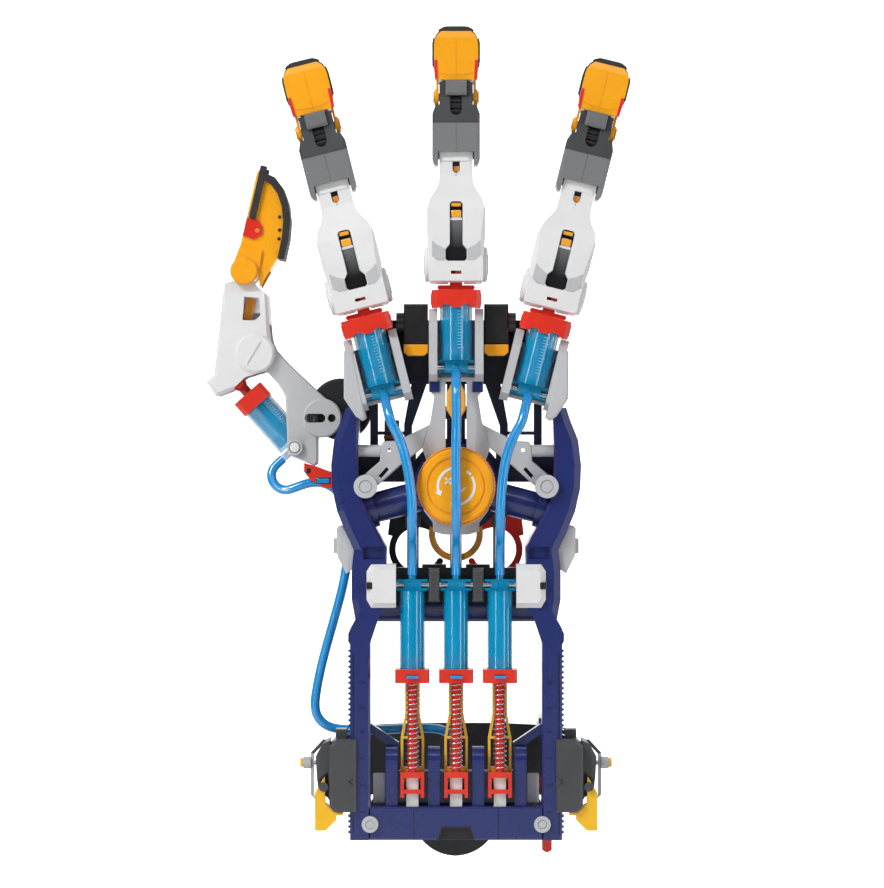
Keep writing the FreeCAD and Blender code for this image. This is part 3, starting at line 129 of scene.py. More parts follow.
def plastic(name, color, rough=0.4, grain=0.1, wear_and_highlight=0.12, coat=0.0, specular=0.5, spread=0.10, split=None,
            reach=0.0001):
    """Moulded plastic: slow tone drift, satin grain, smudged gloss, paler edges of wear and painted highlight.
    split is (colour, point, direction): beyond the point, along the direction, the plastic has that
    colour, and the change is spread over reach metres on either side."""
    material, tree, shader = new_material(name)
    links = tree.links
    coords = tree.nodes.new("ShaderNodeTexCoord").outputs["Object"]
    drift = noise(tree, coords, 42.0, 4.0)
    ramp = tree.nodes.new("ShaderNodeValToRGB")
    ramp.color_ramp.elements[0].position = 0.32
    ramp.color_ramp.elements[0].color = shade(color, 1 - spread)
    ramp.color_ramp.elements[1].position = 0.68
    ramp.color_ramp.elements[1].color = shade(color, 1 + spread * 0.7)
    links.new(drift.outputs["Fac"], ramp.inputs["Fac"])
    base = ramp.outputs["Color"]
    if split:
        other, origin, direction = split
        offset = tree.nodes.new("ShaderNodeVectorMath")
        offset.operation = "SUBTRACT"
        links.new(coords, offset.inputs[0])
        offset.inputs[1].default_value = origin
        along = tree.nodes.new("ShaderNodeVectorMath")
        along.operation = "DOT_PRODUCT"
        links.new(offset.outputs["Vector"], along.inputs[0])
        along.inputs[1].default_value = direction
        mix = tree.nodes.new("ShaderNodeMix")
        mix.data_type = "RGBA"
        links.new(remap(tree, along.outputs["Value"], -reach, reach, 0.0, 1.0), mix.inputs["Factor"])
        links.new(base, mix.inputs["A"])
        mix.inputs["B"].default_value = shade(other, 1.0)
        base = mix.outputs["Result"]
    links.new(base, shader.inputs["Base Color"])
    smudge = noise(tree, coords, 55.0, 3.0, 0.5)
    gloss = remap(tree, smudge.outputs["Fac"], 0.3, 0.7, rough - 0.03, rough + 0.05)
    links.new(gloss, shader.inputs["Roughness"])
    fine = noise(tree, coords, 2600.0, 2.0, 0.5)
    bump = tree.nodes.new("ShaderNodeBump")
    bump.inputs["Strength"].default_value = grain
    bump.inputs["Distance"].default_value = 0.0002
    links.new(fine.outputs["Fac"], bump.inputs["Height"])
    links.new(bump.outputs["Normal"], shader.inputs["Normal"])
    shader.inputs["Specular IOR Level"].default_value = specular
    shader.inputs["Coat Weight"].default_value = coat
    shader.inputs["Coat Roughness"].default_value = 0.12
    # the edges get a paler copy of the colour: partly edge wear, partly a painted highlight
    if wear_and_highlight:
        pale = tuple(c + (EDGE_WEAR_AND_HIGHLIGHT_TONE - c) * wear_and_highlight for c in color[:3])
        WORN_AND_LIT_EDGES[name] = plastic(name + "_edge", pale, rough + 0.04, grain, 0, coat, specular, 0.25)
    return material


def rubber(name, color):
    """Dull moulded rubber with a pebbled skin."""
    material, tree, shader = new_material(name)
    links = tree.links
    coords = tree.nodes.new("ShaderNodeTexCoord").outputs["Object"]
    dust = noise(tree, coords, 60.0, 6.0, 0.65)
    ramp = tree.nodes.new("ShaderNodeValToRGB")
    ramp.color_ramp.elements[0].position = 0.35
    ramp.color_ramp.elements[0].color = shade(color, 0.75)
    ramp.color_ramp.elements[1].position = 0.75
    ramp.color_ramp.elements[1].color = shade(color, 1.7)
    links.new(dust.outputs["Fac"], ramp.inputs["Fac"])
    links.new(ramp.outputs["Color"], shader.inputs["Base Color"])
    links.new(remap(tree, dust.outputs["Fac"], 0.3, 0.7, 0.58, 0.78), shader.inputs["Roughness"])
    pebbles = tree.nodes.new("ShaderNodeTexVoronoi")
    pebbles.inputs["Scale"].default_value = 1500.0
    links.new(coords, pebbles.inputs["Vector"])
    bump = tree.nodes.new("ShaderNodeBump")
    bump.inputs["Strength"].default_value = 0.25
    bump.inputs["Distance"].default_value = 0.0003
    links.new(pebbles.outputs["Distance"], bump.inputs["Height"])
    links.new(bump.outputs["Normal"], shader.inputs["Normal"])
    shader.inputs["Sheen Weight"].default_value = 0.15
    shader.inputs["Sheen Roughness"].default_value = 0.5
    return material


def clear(name, color, alpha, rough=0.06, coat=0.6):
    """Clear tinted plastic or water: flow streaks along Z, mould ripple, glossy skin."""
    material, tree, shader = new_material(name)
    links = tree.links
    coords = tree.nodes.new("ShaderNodeTexCoord").outputs["Object"]
    stretch = tree.nodes.new("ShaderNodeMapping")
    stretch.inputs["Scale"].default_value = (1.0, 1.0, 0.15)
    links.new(coords, stretch.inputs["Vector"])
    streaks = noise(tree, stretch.outputs["Vector"], 160.0, 3.0)
    ramp = tree.nodes.new("ShaderNodeValToRGB")
    ramp.color_ramp.elements[0].position = 0.3
    ramp.color_ramp.elements[0].color = shade(color, 0.92)
    ramp.color_ramp.elements[1].position = 0.7
    ramp.color_ramp.elements[1].color = shade(color, 1.08)
    links.new(streaks.outputs["Fac"], ramp.inputs["Fac"])
    links.new(ramp.outputs["Color"], shader.inputs["Base Color"])
    gloss = remap(tree, streaks.outputs["Fac"], 0.3, 0.7, rough, rough + 0.08)
    links.new(gloss, shader.inputs["Roughness"])
    ripple = noise(tree, stretch.outputs["Vector"], 420.0, 2.0)
    bump = tree.nodes.new("ShaderNodeBump")
    bump.inputs["Strength"].default_value = 0.008
    bump.inputs["Distance"].default_value = 0.0004
    links.new(ripple.outputs["Fac"], bump.inputs["Height"])
    links.new(bump.outputs["Normal"], shader.inputs["Normal"])
    shader.inputs["Alpha"].default_value = alpha
    shader.inputs["Coat Weight"].default_value = coat
    shader.inputs["Coat Roughness"].default_value = 0.04
    shader.inputs["Specular IOR Level"].default_value = 0.6
    return material


def steel(name, color, rough=0.24, along=(1.0, 40.0, 40.0)):
    """Drawn metal: fine scratches along one axis."""
    material, tree, shader = new_material(name)
    links = tree.links
    coords = tree.nodes.new("ShaderNodeTexCoord").outputs["Object"]
    stretch = tree.nodes.new("ShaderNodeMapping")
    stretch.inputs["Scale"].default_value = along
    links.new(coords, stretch.inputs["Vector"])
    scratch = noise(tree, stretch.outputs["Vector"], 120.0, 5.0, 0.7)
    ramp = tree.nodes.new("ShaderNodeValToRGB")
    ramp.color_ramp.elements[0].color = shade(color, 0.7)
    ramp.color_ramp.elements[1].color = shade(color, 1.15)
    links.new(scratch.outputs["Fac"], ramp.inputs["Fac"])
    links.new(ramp.outputs["Color"], shader.inputs["Base Color"])
    gloss = remap(tree, scratch.outputs["Fac"], 0.3, 0.7, rough - 0.08, rough + 0.12)
    links.new(gloss, shader.inputs["Roughness"])
    bump = tree.nodes.new("ShaderNodeBump")
    bump.inputs["Strength"].default_value = 0.08
    bump.inputs["Distance"].default_value = 0.0001
    links.new(scratch.outputs["Fac"], bump.inputs["Height"])
    links.new(bump.outputs["Normal"], shader.inputs["Normal"])
    shader.inputs["Metallic"].default_value = 1.0
    return material


NAVY_TONE = (0.013, 0.025, 0.150)
DARK_TONE = (0.012, 0.012, 0.014)
WHITE_TONE = (0.78, 0.78, 0.785)
LIGHT_TONE = (0.53, 0.535, 0.55)
LINK_TONE = (0.055, 0.057, 0.061)
# paler tone of the middle link's lower front: painted light where light falls on it
LINK_LIT_FRONT_TONE = (0.20, 0.203, 0.21)
NAVY = plastic("navy_plastic", NAVY_TONE, 0.28, wear_and_highlight=0.12, coat=0.45, spread=0.05)
NAVY_DARK = plastic("dark_navy_plastic", (0.006, 0.009, 0.034), 0.36, wear_and_highlight=0.05, coat=0.2)
CROSSBAR = plastic("crossbar_plastic", NAVY_TONE, 0.30, wear_and_highlight=0.08, coat=0.3,
                   split=(DARK_TONE, point(0, 0, 116), (0, 0, 1)))
WHITE = plastic("white_plastic", WHITE_TONE, 0.38, wear_and_highlight=0.2, coat=0.05, specular=0.4, spread=0.03)
LIGHT = plastic("light_grey_plastic", LIGHT_TONE, 0.34, wear_and_highlight=0.3, coat=0.15, spread=0.05)
GREY = plastic("slate_plastic", (0.060, 0.063, 0.068), 0.38, wear_and_highlight=0.10, coat=0.1)
MID_GREY = plastic("ash_plastic", (0.17, 0.172, 0.178), 0.38, wear_and_highlight=0.15, coat=0.1)
DARK = plastic("charcoal_plastic", DARK_TONE, 0.36, wear_and_highlight=0.09, coat=0.1)
AMBER = plastic("amber_plastic", (1.0, 0.41, 0.010), 0.28, wear_and_highlight=0.16, coat=0.3, spread=0.06)
ORANGE = plastic("orange_plastic", (0.86, 0.22, 0.006), 0.34, wear_and_highlight=0.14, coat=0.2, spread=0.07)
YELLOW = plastic("yellow_plastic", (0.96, 0.53, 0.012), 0.34, wear_and_highlight=0.18, coat=0.2, spread=0.05)
RED = plastic("red_plastic", (0.76, 0.030, 0.012), 0.32, wear_and_highlight=0.14, coat=0.25, spread=0.08)
# brighter copies of red and orange for the loops, which sit in shade: painted light
LIT_LOOP_RED = plastic("lit_red_loop_plastic", (0.95, 0.028, 0.014), 0.30, wear_and_highlight=0.10, coat=0.3, spread=0.06)
LIT_LOOP_ORANGE = plastic("lit_orange_loop_plastic", (1.0, 0.40, 0.04), 0.30, wear_and_highlight=0.12, coat=0.3, spread=0.05)
BRONZE = plastic("bronze_plastic", (0.74, 0.26, 0.020), 0.34, wear_and_highlight=0.16, coat=0.2)
# orange plastic painted dark brown: painted shade on a part that sits behind the frame
SHADED_ORANGE = plastic("shaded_orange_plastic", (0.20, 0.065, 0.010), 0.38, wear_and_highlight=0.1)
BAND = plastic("band_plastic", (0.15, 0.15, 0.16), 0.38, wear_and_highlight=0.1)
STRAP = plastic("strap_plastic", (0.82, 0.82, 0.80), 0.5, grain=0.25, wear_and_highlight=0.1, spread=0.04)
PRINT = plastic("white_print", (0.84, 0.85, 0.86), 0.45, wear_and_highlight=0.0, spread=0.03)
TICKS = plastic("scale_print", (0.22, 0.62, 0.85), 0.3, wear_and_highlight=0.0, spread=0.05)
LINE = plastic("mould_line", (0.10, 0.10, 0.10), 0.55, wear_and_highlight=0.0)
NAVY_MARK = plastic("navy_mark", (0.004, 0.006, 0.035), 0.5, wear_and_highlight=0.0)
GREY_MARK = plastic("slider_mark", (0.008, 0.008, 0.012), 0.5, wear_and_highlight=0.0)
RUBBER = rubber("fingertip_rubber", (0.016, 0.016, 0.017))
CUFF_RUBBER = rubber("cuff_rubber", (0.016, 0.018, 0.020))
BARREL = clear("clear_barrel", (0.001, 0.40, 0.74), 0.56, coat=1.0)
WATER = clear("tinted_water", (0.001, 0.56, 0.70), 0.86, coat=0.0)
TUBE = clear("water_tube", (0.004, 0.31, 0.74), 0.97, rough=0.12, coat=1.0)
STEEL = steel("drawn_steel", (0.72, 0.73, 0.75))
SPRING = steel("spring_wire", (0.78, 0.78, 0.80), 0.2, (30.0, 30.0, 30.0))


# ---- mesh tools -----------------------------------------------------------------------------
def add(name, mesh, material, body):
    """A finished piece: material on it, riding on its CAD body."""
    piece = bpy.data.objects.new(name, mesh)
    scene.collection.objects.link(piece)
    mesh.materials.clear()
    mesh.materials.append(material)
    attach(piece, body)
    return piece


def soften(piece, width=0.0003, segments=2, angle=30):
    """Rounded edges in the paler edge tone of the piece's first material: edge wear and painted highlight."""
    bevel = piece.modifiers.new("bevel", "BEVEL")
    # the bevel faces take the paler edge material: edge wear and painted highlight
    worn_lit_edge = WORN_AND_LIT_EDGES.get(piece.data.materials[0].name)
    if worn_lit_edge:
        piece.data.materials.append(worn_lit_edge)
        bevel.material = len(piece.data.materials) - 1
    bevel.width = width
    bevel.segments = segments
    bevel.limit_method = "ANGLE"
    bevel.angle_limit = math.radians(angle)
    bevel.use_clamp_overlap = True
    normals = piece.modifiers.new("normals", "WEIGHTED_NORMAL")
    normals.keep_sharp = True
    return piece


def smooth(mesh):
    for face in mesh.polygons:
        face.use_smooth = True


def placed(kind):
    """Maps a finger's own frame, or the thumb tip's, to the row frame."""
    if kind is None:
        return point
    if kind == "thumb":
        x0, z0, tilt, y0 = THUMB_TIP[0], THUMB_TIP[1], THUMB_TIP_LEAN, THUMB_Y
    elif kind == "thumb_cylinder":
        x0, z0, tilt, y0 = THUMB_FOOT[0], THUMB_FOOT[1], -THUMB_LEAN, THUMB_Y
    else:
        (x0, z0, tilt), y0 = KNUCKLES[kind], 0.0
    c, s = math.cos(math.radians(tilt)), math.sin(math.radians(tilt))
    return lambda x, y, z: point(x0 + x * c + z * s, y0 + y, z0 - x * s + z * c)


def plate(name, outline, y0, y1, material, body, at=None, bevel=0.25):
    """Outline of (x, z) points made thick along Y."""
    where = placed(at)
    bm = bmesh.new()
    front = [bm.verts.new(where(x, y0, z)) for x, z in outline]
    back = [bm.verts.new(where(x, y1, z)) for x, z in outline]
    bm.faces.new(front)
    bm.faces.new(back[::-1])
    for i in range(len(outline)):
        j = (i + 1) % len(outline)
        bm.faces.new((front[i], back[i], back[j], front[j]))
    bmesh.ops.recalc_face_normals(bm, faces=bm.faces)
    mesh = bpy.data.meshes.new(name)
    bm.to_mesh(mesh)
    bm.free()
    piece = add(name, mesh, material, body)
    if bevel:
        soften(piece, bevel * MM)
    return piece


def block(name, x0, x1, y0, y1, z0, z1, material, body, at=None, bevel=0.25):
    return plate(name, [(x0, z0), (x1, z0), (x1, z1), (x0, z1)], y0, y1, material, body, at, bevel)


def lathe(name, profile, centre, axis, material, body, at=None, steps=48, closed=False):
    """Profile of (radius, height) points turned round an axis through centre."""
    where = placed(at)
    origin = where(*centre)
    direction = (where(*(Vector(centre) + Vector(axis))) - origin).normalized()
    side = direction.orthogonal().normalized()
    other = direction.cross(side)
    bm = bmesh.new()
    rings = []
    for radius, height in profile:
        base = origin + direction * height * MM
        if radius < 1e-6:
            rings.append([bm.verts.new(base)])
            continue
        ring = []
        for k in range(steps):
            a = 2 * math.pi * k / steps
            ring.append(bm.verts.new(base + (side * math.cos(a) + other * math.sin(a)) * radius * MM))
        rings.append(ring)
    pairs = list(zip(rings, rings[1:])) + ([(rings[-1], rings[0])] if closed else [])
    for low, high in pairs:
        for k in range(steps):
            m = (k + 1) % steps
            if len(low) == 1 and len(high) > 1:
                bm.faces.new((low[0], high[k], high[m]))
            elif len(high) == 1 and len(low) > 1:
                bm.faces.new((low[k], high[0], low[m]))
            elif len(low) > 1:
                bm.faces.new((low[k], high[k], high[m], low[m]))
    bmesh.ops.recalc_face_normals(bm, faces=bm.faces)
    mesh = bpy.data.meshes.new(name)
    bm.to_mesh(mesh)
    bm.free()
    smooth(mesh)
    return soften(add(name, mesh, material, body), 0.15 * MM)


def disc(name, radius, start, end, centre, axis, material, body, at=None, steps=48):
    """Solid round piece between two heights along an axis."""
    profile = [(0, start), (radius, start), (radius, end), (0, end)]
    return lathe(name, profile, centre, axis, material, body, at, steps)


def side_span(side, near, far):
    """Low and high ends of a stretch on one side of zero."""
    return sorted((side * near, side * far))


def sweep(name, line, radius, material, body, sides=8):
    """Round wire along a list of points in the row frame."""
    bm = bmesh.new()
    rings = []
    normal = None
    for i, here in enumerate(line):
        ahead = (line[min(i + 1, len(line) - 1)] - line[max(i - 1, 0)]).normalized()
        normal = (ahead.orthogonal() if normal is None else normal - ahead * normal.dot(ahead)).normalized()
        other = ahead.cross(normal)
        rings.append([bm.verts.new(here + (normal * math.cos(a) + other * math.sin(a)) * radius * MM)
                      for a in (2 * math.pi * k / sides for k in range(sides))])
    for low, high in zip(rings, rings[1:]):
        for k in range(sides):
            m = (k + 1) % sides
            bm.faces.new((low[k], high[k], high[m], low[m]))
    bm.faces.new(rings[0])
    bm.faces.new(rings[-1][::-1])
    bmesh.ops.recalc_face_normals(bm, faces=bm.faces)
    mesh = bpy.data.meshes.new(name)
    bm.to_mesh(mesh)
    bm.free()
    smooth(mesh)
    return add(name, mesh, material, body)


# ---- water tubes ----------------------------------------------------------------------------
TUBE_R = 2.4
TUBE_FRONT = -24.4
TUBE_STEPS = (18, 36, 54, 36, 18)
SPOUT_END = (-16.1, -54.8)
SPOUT_DROP = math.degrees(math.atan2(4.2, 5.6))
FEED_FOOT, FEED_TOP = 131, 137.5
LOOP_STEPS, LOOP_TURN, LOOP_STRIDE = 7, 26, 3.4
# the thumb tube from its loop, through the clip, down beside the frame and in behind the cuff
THUMB_RUN = [
    (-73, 17.2, 176.9), (-65.5, 17.4, 176.2), (-59.2, 17.6, 172), (-55.6, 17.6, 164.5), (-54.4, 17.4, 153),
    (-54.4, 16.8, 140), (-56.4, 16, 126), (-61.2, 15.6, 108), (-66.4, 15.6, 90), (-70, 15.6, 74),
    (-71.4, 15.6, 62.4), (-68.2, 15.6, 56), (-62, 15.7, 52.6), (-53, 16.4, 52), (-40, 18.6, 51.6),
    (-26, 22.2, 52), (-14, 24.4, 52.2), (-7, 25.6, 51.2), (-1.8, 26, 48.2), (1.2, 26, 43), (1.2, 26, 37)]


def tube_piece(name, route):
    curve = bpy.data.curves.new(name, "CURVE")
    curve.dimensions = "3D"
    curve.resolution_u = 12
    curve.bevel_depth = TUBE_R * MM
    curve.bevel_resolution = 6
    curve.use_fill_caps = True
    spline = curve.splines.new("NURBS")
    spline.points.add(len(route) - 1)
    for place, spot in zip(spline.points, route):
        place.co = (*point(*spot), 1.0)
    spline.order_u = 3
    spline.use_endpoint_u = True
    piece = bpy.data.objects.new(name, curve)
    scene.collection.objects.link(piece)
    curve.materials.append(TUBE)
    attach(piece, "frame")
    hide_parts(name)
    return piece


def finger_point(name, y, z):
    x0, z0, tilt = KNUCKLES[name]
    t = math.radians(tilt)
    return x0 + z * math.sin(t), y, z0 + z * math.cos(t)


def finger_route(name):
    """From the input cylinder's spout, over the hub, to the finger cylinder's spout."""
    feed = FEED_X[name]
    side = (feed > 0) - (feed < 0)
    y, z = CYLINDER_Y, FEED_TOP
    low = [(feed, y, FEED_FOOT), (feed, y, z)]
    stride = (CYLINDER_Y - TUBE_FRONT) / sum(math.sin(math.radians(a)) for a in TUBE_STEPS)
    for angle in TUBE_STEPS:
        y -= stride * math.sin(math.radians(angle))
        z += stride * math.cos(math.radians(angle))
        low.append((feed, y, z))
    middle = [(side * 22.0 + 0.1, TUBE_FRONT - 0.2, 171), (side * 24.1 - 0.3, TUBE_FRONT - 0.4, 188)]
    middle.append((side * 28.4, TUBE_FRONT - 0.3, 200.5) if side else (0.2, TUBE_FRONT - 0.2, 206))
    high = []
    y, z = SPOUT_END
    for angle in (SPOUT_DROP, 55, 73, 87):
        high.append(finger_point(name, y, z))
        reach = 5.4 if angle < 80 else 7.5
        y -= reach * math.cos(math.radians(angle))
        z -= reach * math.sin(math.radians(angle))
    return [*low, *middle, *high[::-1]]


def thumb_route():
    """From the thumb cylinder's spout, round a loop, then along the run."""
    lean = math.radians(THUMB_LEAN)
    x, z = THUMB_FOOT[0] - 8.7 * math.cos(lean), THUMB_FOOT[1] - 8.7 * math.sin(lean)
    route = [(x, THUMB_Y, z)]
    y, heading = THUMB_Y - 0.6, 180 + math.degrees(lean)
    x, z = x + 6 * math.cos(math.radians(heading)), z + 6 * math.sin(math.radians(heading))
    for _ in range(LOOP_STEPS):
        route.append((x, y, z))
        heading += LOOP_TURN
        x += LOOP_STRIDE * math.cos(math.radians(heading))
        z += LOOP_STRIDE * math.sin(math.radians(heading))
        y -= 1.0
    return route + THUMB_RUN


for name, feed in FEED_X.items():
    tube_piece(f"{name}_tube", finger_route(name))
tube_piece("thumb_tube", thumb_route())


# ---- CAD nodes: finish and soft edges -------------------------------------------------------
FINISH = {
    "left_side_frame": NAVY, "right_side_frame": NAVY, "syringe_crossbar": CROSSBAR, "hub": NAVY,
    "wrist_base": NAVY, "palm_frame": NAVY_DARK, "thumb_drum": DARK, "lock_blocks": DARK,
    "cuff_sliders": GREY, "cuff_shell": CUFF_RUBBER, "side_links": LIGHT, "finger_brackets": LIGHT,
    "centre_bracket": LIGHT,
    "side_buttons": LIGHT, "thumb_bracket": LIGHT, "axle_blocks": WHITE, "slide_locks": AMBER,
    "left_latch": YELLOW, "right_latch": YELLOW, "spring_guides": YELLOW, "tension_knob": AMBER,
    "cylinder_collars": RED, "tube_clip": RED, "finger_cylinders": BARREL, "input_cylinders": BARREL,
    "steel_pins": STEEL, "thumb_proximal": WHITE, "thumb_tip": AMBER, "thumb_pad": RUBBER, "thumb_rod": RED,
    # the middle and ring loops take the brightened copies: painted light
    "thumb_plunger": RED, "thumb_lever": RED, "index_loop": DARK, "middle_loop": LIT_LOOP_ORANGE,
    "ring_loop": LIT_LOOP_RED,
}
LINK_STEP = 69.8                # height from which the middle link's front is painted paler, downwards: painted light on its lit face
for name in KNUCKLES:
    where = placed(name)
    up = (where(0, 0, 1) - where(0, 0, 0)).normalized()
    FINISH[f"{name}_proximal"] = WHITE
    # the lower front is painted paler than the rest of the link: painted light
    FINISH[f"{name}_middle"] = plastic(f"{name}_link_plastic", LINK_TONE, 0.36, wear_and_highlight=0.1, coat=0.15,
                                       split=(LINK_LIT_FRONT_TONE, where(0, 0, LINK_STEP), -up))
    FINISH[f"{name}_tip"] = AMBER
    FINISH[f"{name}_pad"] = RUBBER
    FINISH[f"{name}_rod"] = RED
    FINISH[f"{name}_plunger"] = RED
for name, material in FINISH.items():
    cad = nodes[name]
    cad.data.materials.clear()
    cad.data.materials.append(material)
    weld = cad.modifiers.new("weld", "WELD")
    weld.merge_threshold = 0.00001
    soften(cad, 0.0003 if material is not BARREL else 0.0002)


def repaint(node_name, material, wanted):
    """Another material on the faces of a CAD node whose middle passes the test, in hand millimetres."""
    mesh = nodes[node_name].data
    mesh.materials.append(material)
    index = len(mesh.materials) - 1
    for face in mesh.polygons:
        c = face.center / MM
        if wanted(Vector((c.x, c.y + DEPTH, c.z))):
            face.material_index = index


def on_bail(spot):
    """The wire bails outside the cuff sliders."""
    return abs(spot.x) > 64.5 and -1.9 < spot.y < 4.3 and (abs(spot.x) > 69.9 or spot.z < 18.0)


def on_trunnion(spot):
    """The front end of the pin that the thumb cylinder swings on."""
    return (spot.x - THUMB_FOOT[0]) ** 2 + (spot.z - THUMB_FOOT[1]) ** 2 < 30 and spot.y < 15


def on_strap(spot):
    """The strap ends under the plungers."""
    aside = min(abs(spot.x - x) for x in FEED_X.values())
    return spot.z < 30.6 and abs(spot.y - CYLINDER_Y) < 0.61 and aside < 3.01


repaint("cuff_sliders", LIGHT, on_bail)
repaint("axle_blocks", GREY, lambda spot: abs(spot.x) < 14)
repaint("steel_pins", LIGHT, on_trunnion)
for name, (x0, z0, tilt) in KNUCKLES.items():
    c, s = math.cos(math.radians(tilt)), math.sin(math.radians(tilt))
    repaint(f"{name}_middle", MID_GREY, lambda p: (p.x - x0) * s + (p.z - z0) * c > 83.4 and p.y < -8.1)
    repaint(f"{name}_loop", BAND, lambda spot: spot.y < 17.71)
    repaint(f"{name}_plunger", STRAP, on_strap)


# ---- springs and water ----------------------------------------------------------------------
COIL_TURNS, COIL_STEPS, COIL_RADIUS, COIL_WIRE = 18, 20, 3.1, 0.32
COIL_FOOT, COIL_HEAD, SPRING_ANCHOR = 33.9, 77.3, 77.7
WATER_FOOT, WATER_HEAD, WATER_RADIUS = 90.8, 121.3, 5.45


def coil_line(x):
    """Points of one return spring round its plunger."""
    count = COIL_TURNS * COIL_STEPS
    line = []
    for k in range(count + 1):
        a = 2 * math.pi * k / COIL_STEPS
        line.append(point(x + COIL_RADIUS * math.cos(a), CYLINDER_Y + COIL_RADIUS * math.sin(a),
                          COIL_FOOT + (COIL_HEAD - COIL_FOOT) * k / count))
    return line


for name, x in FEED_X.items():
    spring = sweep(f"{name}_return_spring", coil_line(x), COIL_WIRE, SPRING, "frame", 6)
    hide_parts(f"{name}_spring")
    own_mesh(spring)
    water = disc(f"{name}_water", WATER_RADIUS, WATER_FOOT, WATER_HEAD, (x, CYLINDER_Y, 0), Z_AXIS,
                 WATER, "frame")
    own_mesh(water)


# ---- graduations ----------------------------------------------------------------------------
TICK_STEP, TICK_HEIGHT, TICK_RADIUS = 1.5, 0.28, 8.16
LONG_TICK, SHORT_TICK, LONG_EVERY, TICK_PIECES = 22, 13, 5, 4


def circle_point(centre, radius, angle):
    return centre[0] + radius * math.cos(angle), centre[1] + radius * math.sin(angle)


def ticks(name, centre, lowest, count, start, at):
    """Short printed arcs on a barrel's front, one mesh for a whole scale. Angles are in degrees."""
    where = placed(at)
    bm = bmesh.new()
    for i in range(count):
        low = lowest + TICK_STEP * i
        high = low + TICK_HEIGHT
        turn = LONG_TICK if i % LONG_EVERY == 0 else SHORT_TICK
        for k in range(TICK_PIECES):
            a = math.radians(start + turn * k / TICK_PIECES)
            b = math.radians(start + turn * (k + 1) / TICK_PIECES)
            corners = ((a, low), (b, low), (b, high), (a, high))
            bm.faces.new([bm.verts.new(where(*circle_point(centre, TICK_RADIUS, angle), height))
                          for angle, height in corners])
    mesh = bpy.data.meshes.new(name)
    bm.to_mesh(mesh)
    bm.free()
    return add(name, mesh, TICKS, "frame")


for name in KNUCKLES:
    ticks(f"{name}_cylinder_scale", (0, CYLINDER_Y), -42, 13, -86, name)
ticks("thumb_cylinder_scale", (0, 0), 9, 12, -60, "thumb_cylinder")


# ---- knob face ------------------------------------------------------------------------------
KNOB_CENTRE = (0.0, HUB_Z)
ARROW_RADIUS, ARROW_WIDTH, ARROW_HEAD = 9.0, 1.3, 2.6
MARK_PROUD, MARK_SUNK = 0.25, 0.2
KNURLS, KNURL_RADIUS, KNURL_SIZE = 60, 19.35, (0.5, 6.6, 0.9)


def flat_mark(name, outline, y, material, body, bevel):
    """A thin mark laid on a face that looks along -Y."""
    return plate(name, outline, y - MARK_PROUD, y + MARK_SUNK, material, body, bevel=bevel)


def arc_mark(name, start, end, head=0.0):
    """Flat arc on the knob, from one angle in degrees to another, with an arrowhead at its end."""
    steps = max(6, int(abs(end - start) / 6))
    angles = [math.radians(start + (end - start) * k / steps) for k in range(steps + 1)]
    outline = [circle_point(KNOB_CENTRE, ARROW_RADIUS + ARROW_WIDTH / 2, a) for a in angles]
    if head:
        tip = angles[-1] + math.copysign(head / ARROW_RADIUS, end - start)
        outline += [circle_point(KNOB_CENTRE, ARROW_RADIUS + reach, a)
                    for reach, a in ((head * 0.75, angles[-1]), (0.0, tip), (-head * 0.75, angles[-1]))]
    outline += [circle_point(KNOB_CENTRE, ARROW_RADIUS - ARROW_WIDTH / 2, a) for a in reversed(angles)]
    return flat_mark(name, outline, KNOB_FACE, PRINT, "knob", 0.1)


def bar_mark(name, centre, length, width, angle, y, material, body):
    """Flat straight mark, turned by an angle in degrees."""
    c, s = math.cos(math.radians(angle)), math.sin(math.radians(angle))
    u, v = length / 2, width / 2
    corners = ((-u, -v), (u, -v), (u, v), (-u, v))
    outline = [(centre[0] + a * c - b * s, centre[1] + a * s + b * c) for a, b in corners]
    return flat_mark(name, outline, y, material, body, 0.08)


arc_mark("knob_arrow_a", 84, 196, ARROW_HEAD)
arc_mark("knob_arrow_b", 56, 38)
arc_mark("knob_arrow_c", 32, -92, ARROW_HEAD)
PLUS_CENTRE, MINUS_CENTRE = (-3.9, HUB_Z + 2.6), (2.9, HUB_Z - 2.2)
for word, centre, angle in (("plus_a", PLUS_CENTRE, 42), ("plus_b", PLUS_CENTRE, 132),
                            ("minus", MINUS_CENTRE, 42)):
    bar_mark(f"knob_{word}", centre, 4.6, 0.8, angle, KNOB_FACE, PRINT, "knob")
RIM_PROFILE = [(19.4, 2.2), (19.4, 8.6), (18.7, 9.6), (18.7, 1.2), (19.0, 0.8)]
lathe("knob_rim", RIM_PROFILE, (0, KNOB_FACE, HUB_Z), Y_AXIS, ORANGE, "knob", steps=96)

bm = bmesh.new()
for k in range(KNURLS):
    a = 2 * math.pi * k / KNURLS
    x, z = circle_point(KNOB_CENTRE, KNURL_RADIUS, a)
    matrix = (Matrix.Translation(point(x, KNOB_FACE + 5.6, z)) @ Matrix.Rotation(-a, 4, "Y")
              @ Matrix.Diagonal((*(size * MM for size in KNURL_SIZE), 1)))
    bmesh.ops.create_cube(bm, size=1.0, matrix=matrix)
knurls = bpy.data.meshes.new("knob_knurls")
bm.to_mesh(knurls)
bm.free()
soften(add("knob_knurls", knurls, ORANGE, "knob"), 0.15 * MM)


# ---- marks and pins on the rails and sliders ------------------------------------------------
SIDES = ((-1, "left"), (1, "right"))
RAIL_FIGURES = (14.0, 27.0, 40.5, 53.5, 65.5, 78.0)         # heights of the figures 1 to 6
RAIL_MARK_X, RAIL_FACE, FIGURE_SIZE = 46.2, -14.08, 3.8
POINTER_PLACE, POINTER_LEAN, POINTER_RISE, SLIDER_FACE = (51.9, 29.2), 34, 0.75, -17.02


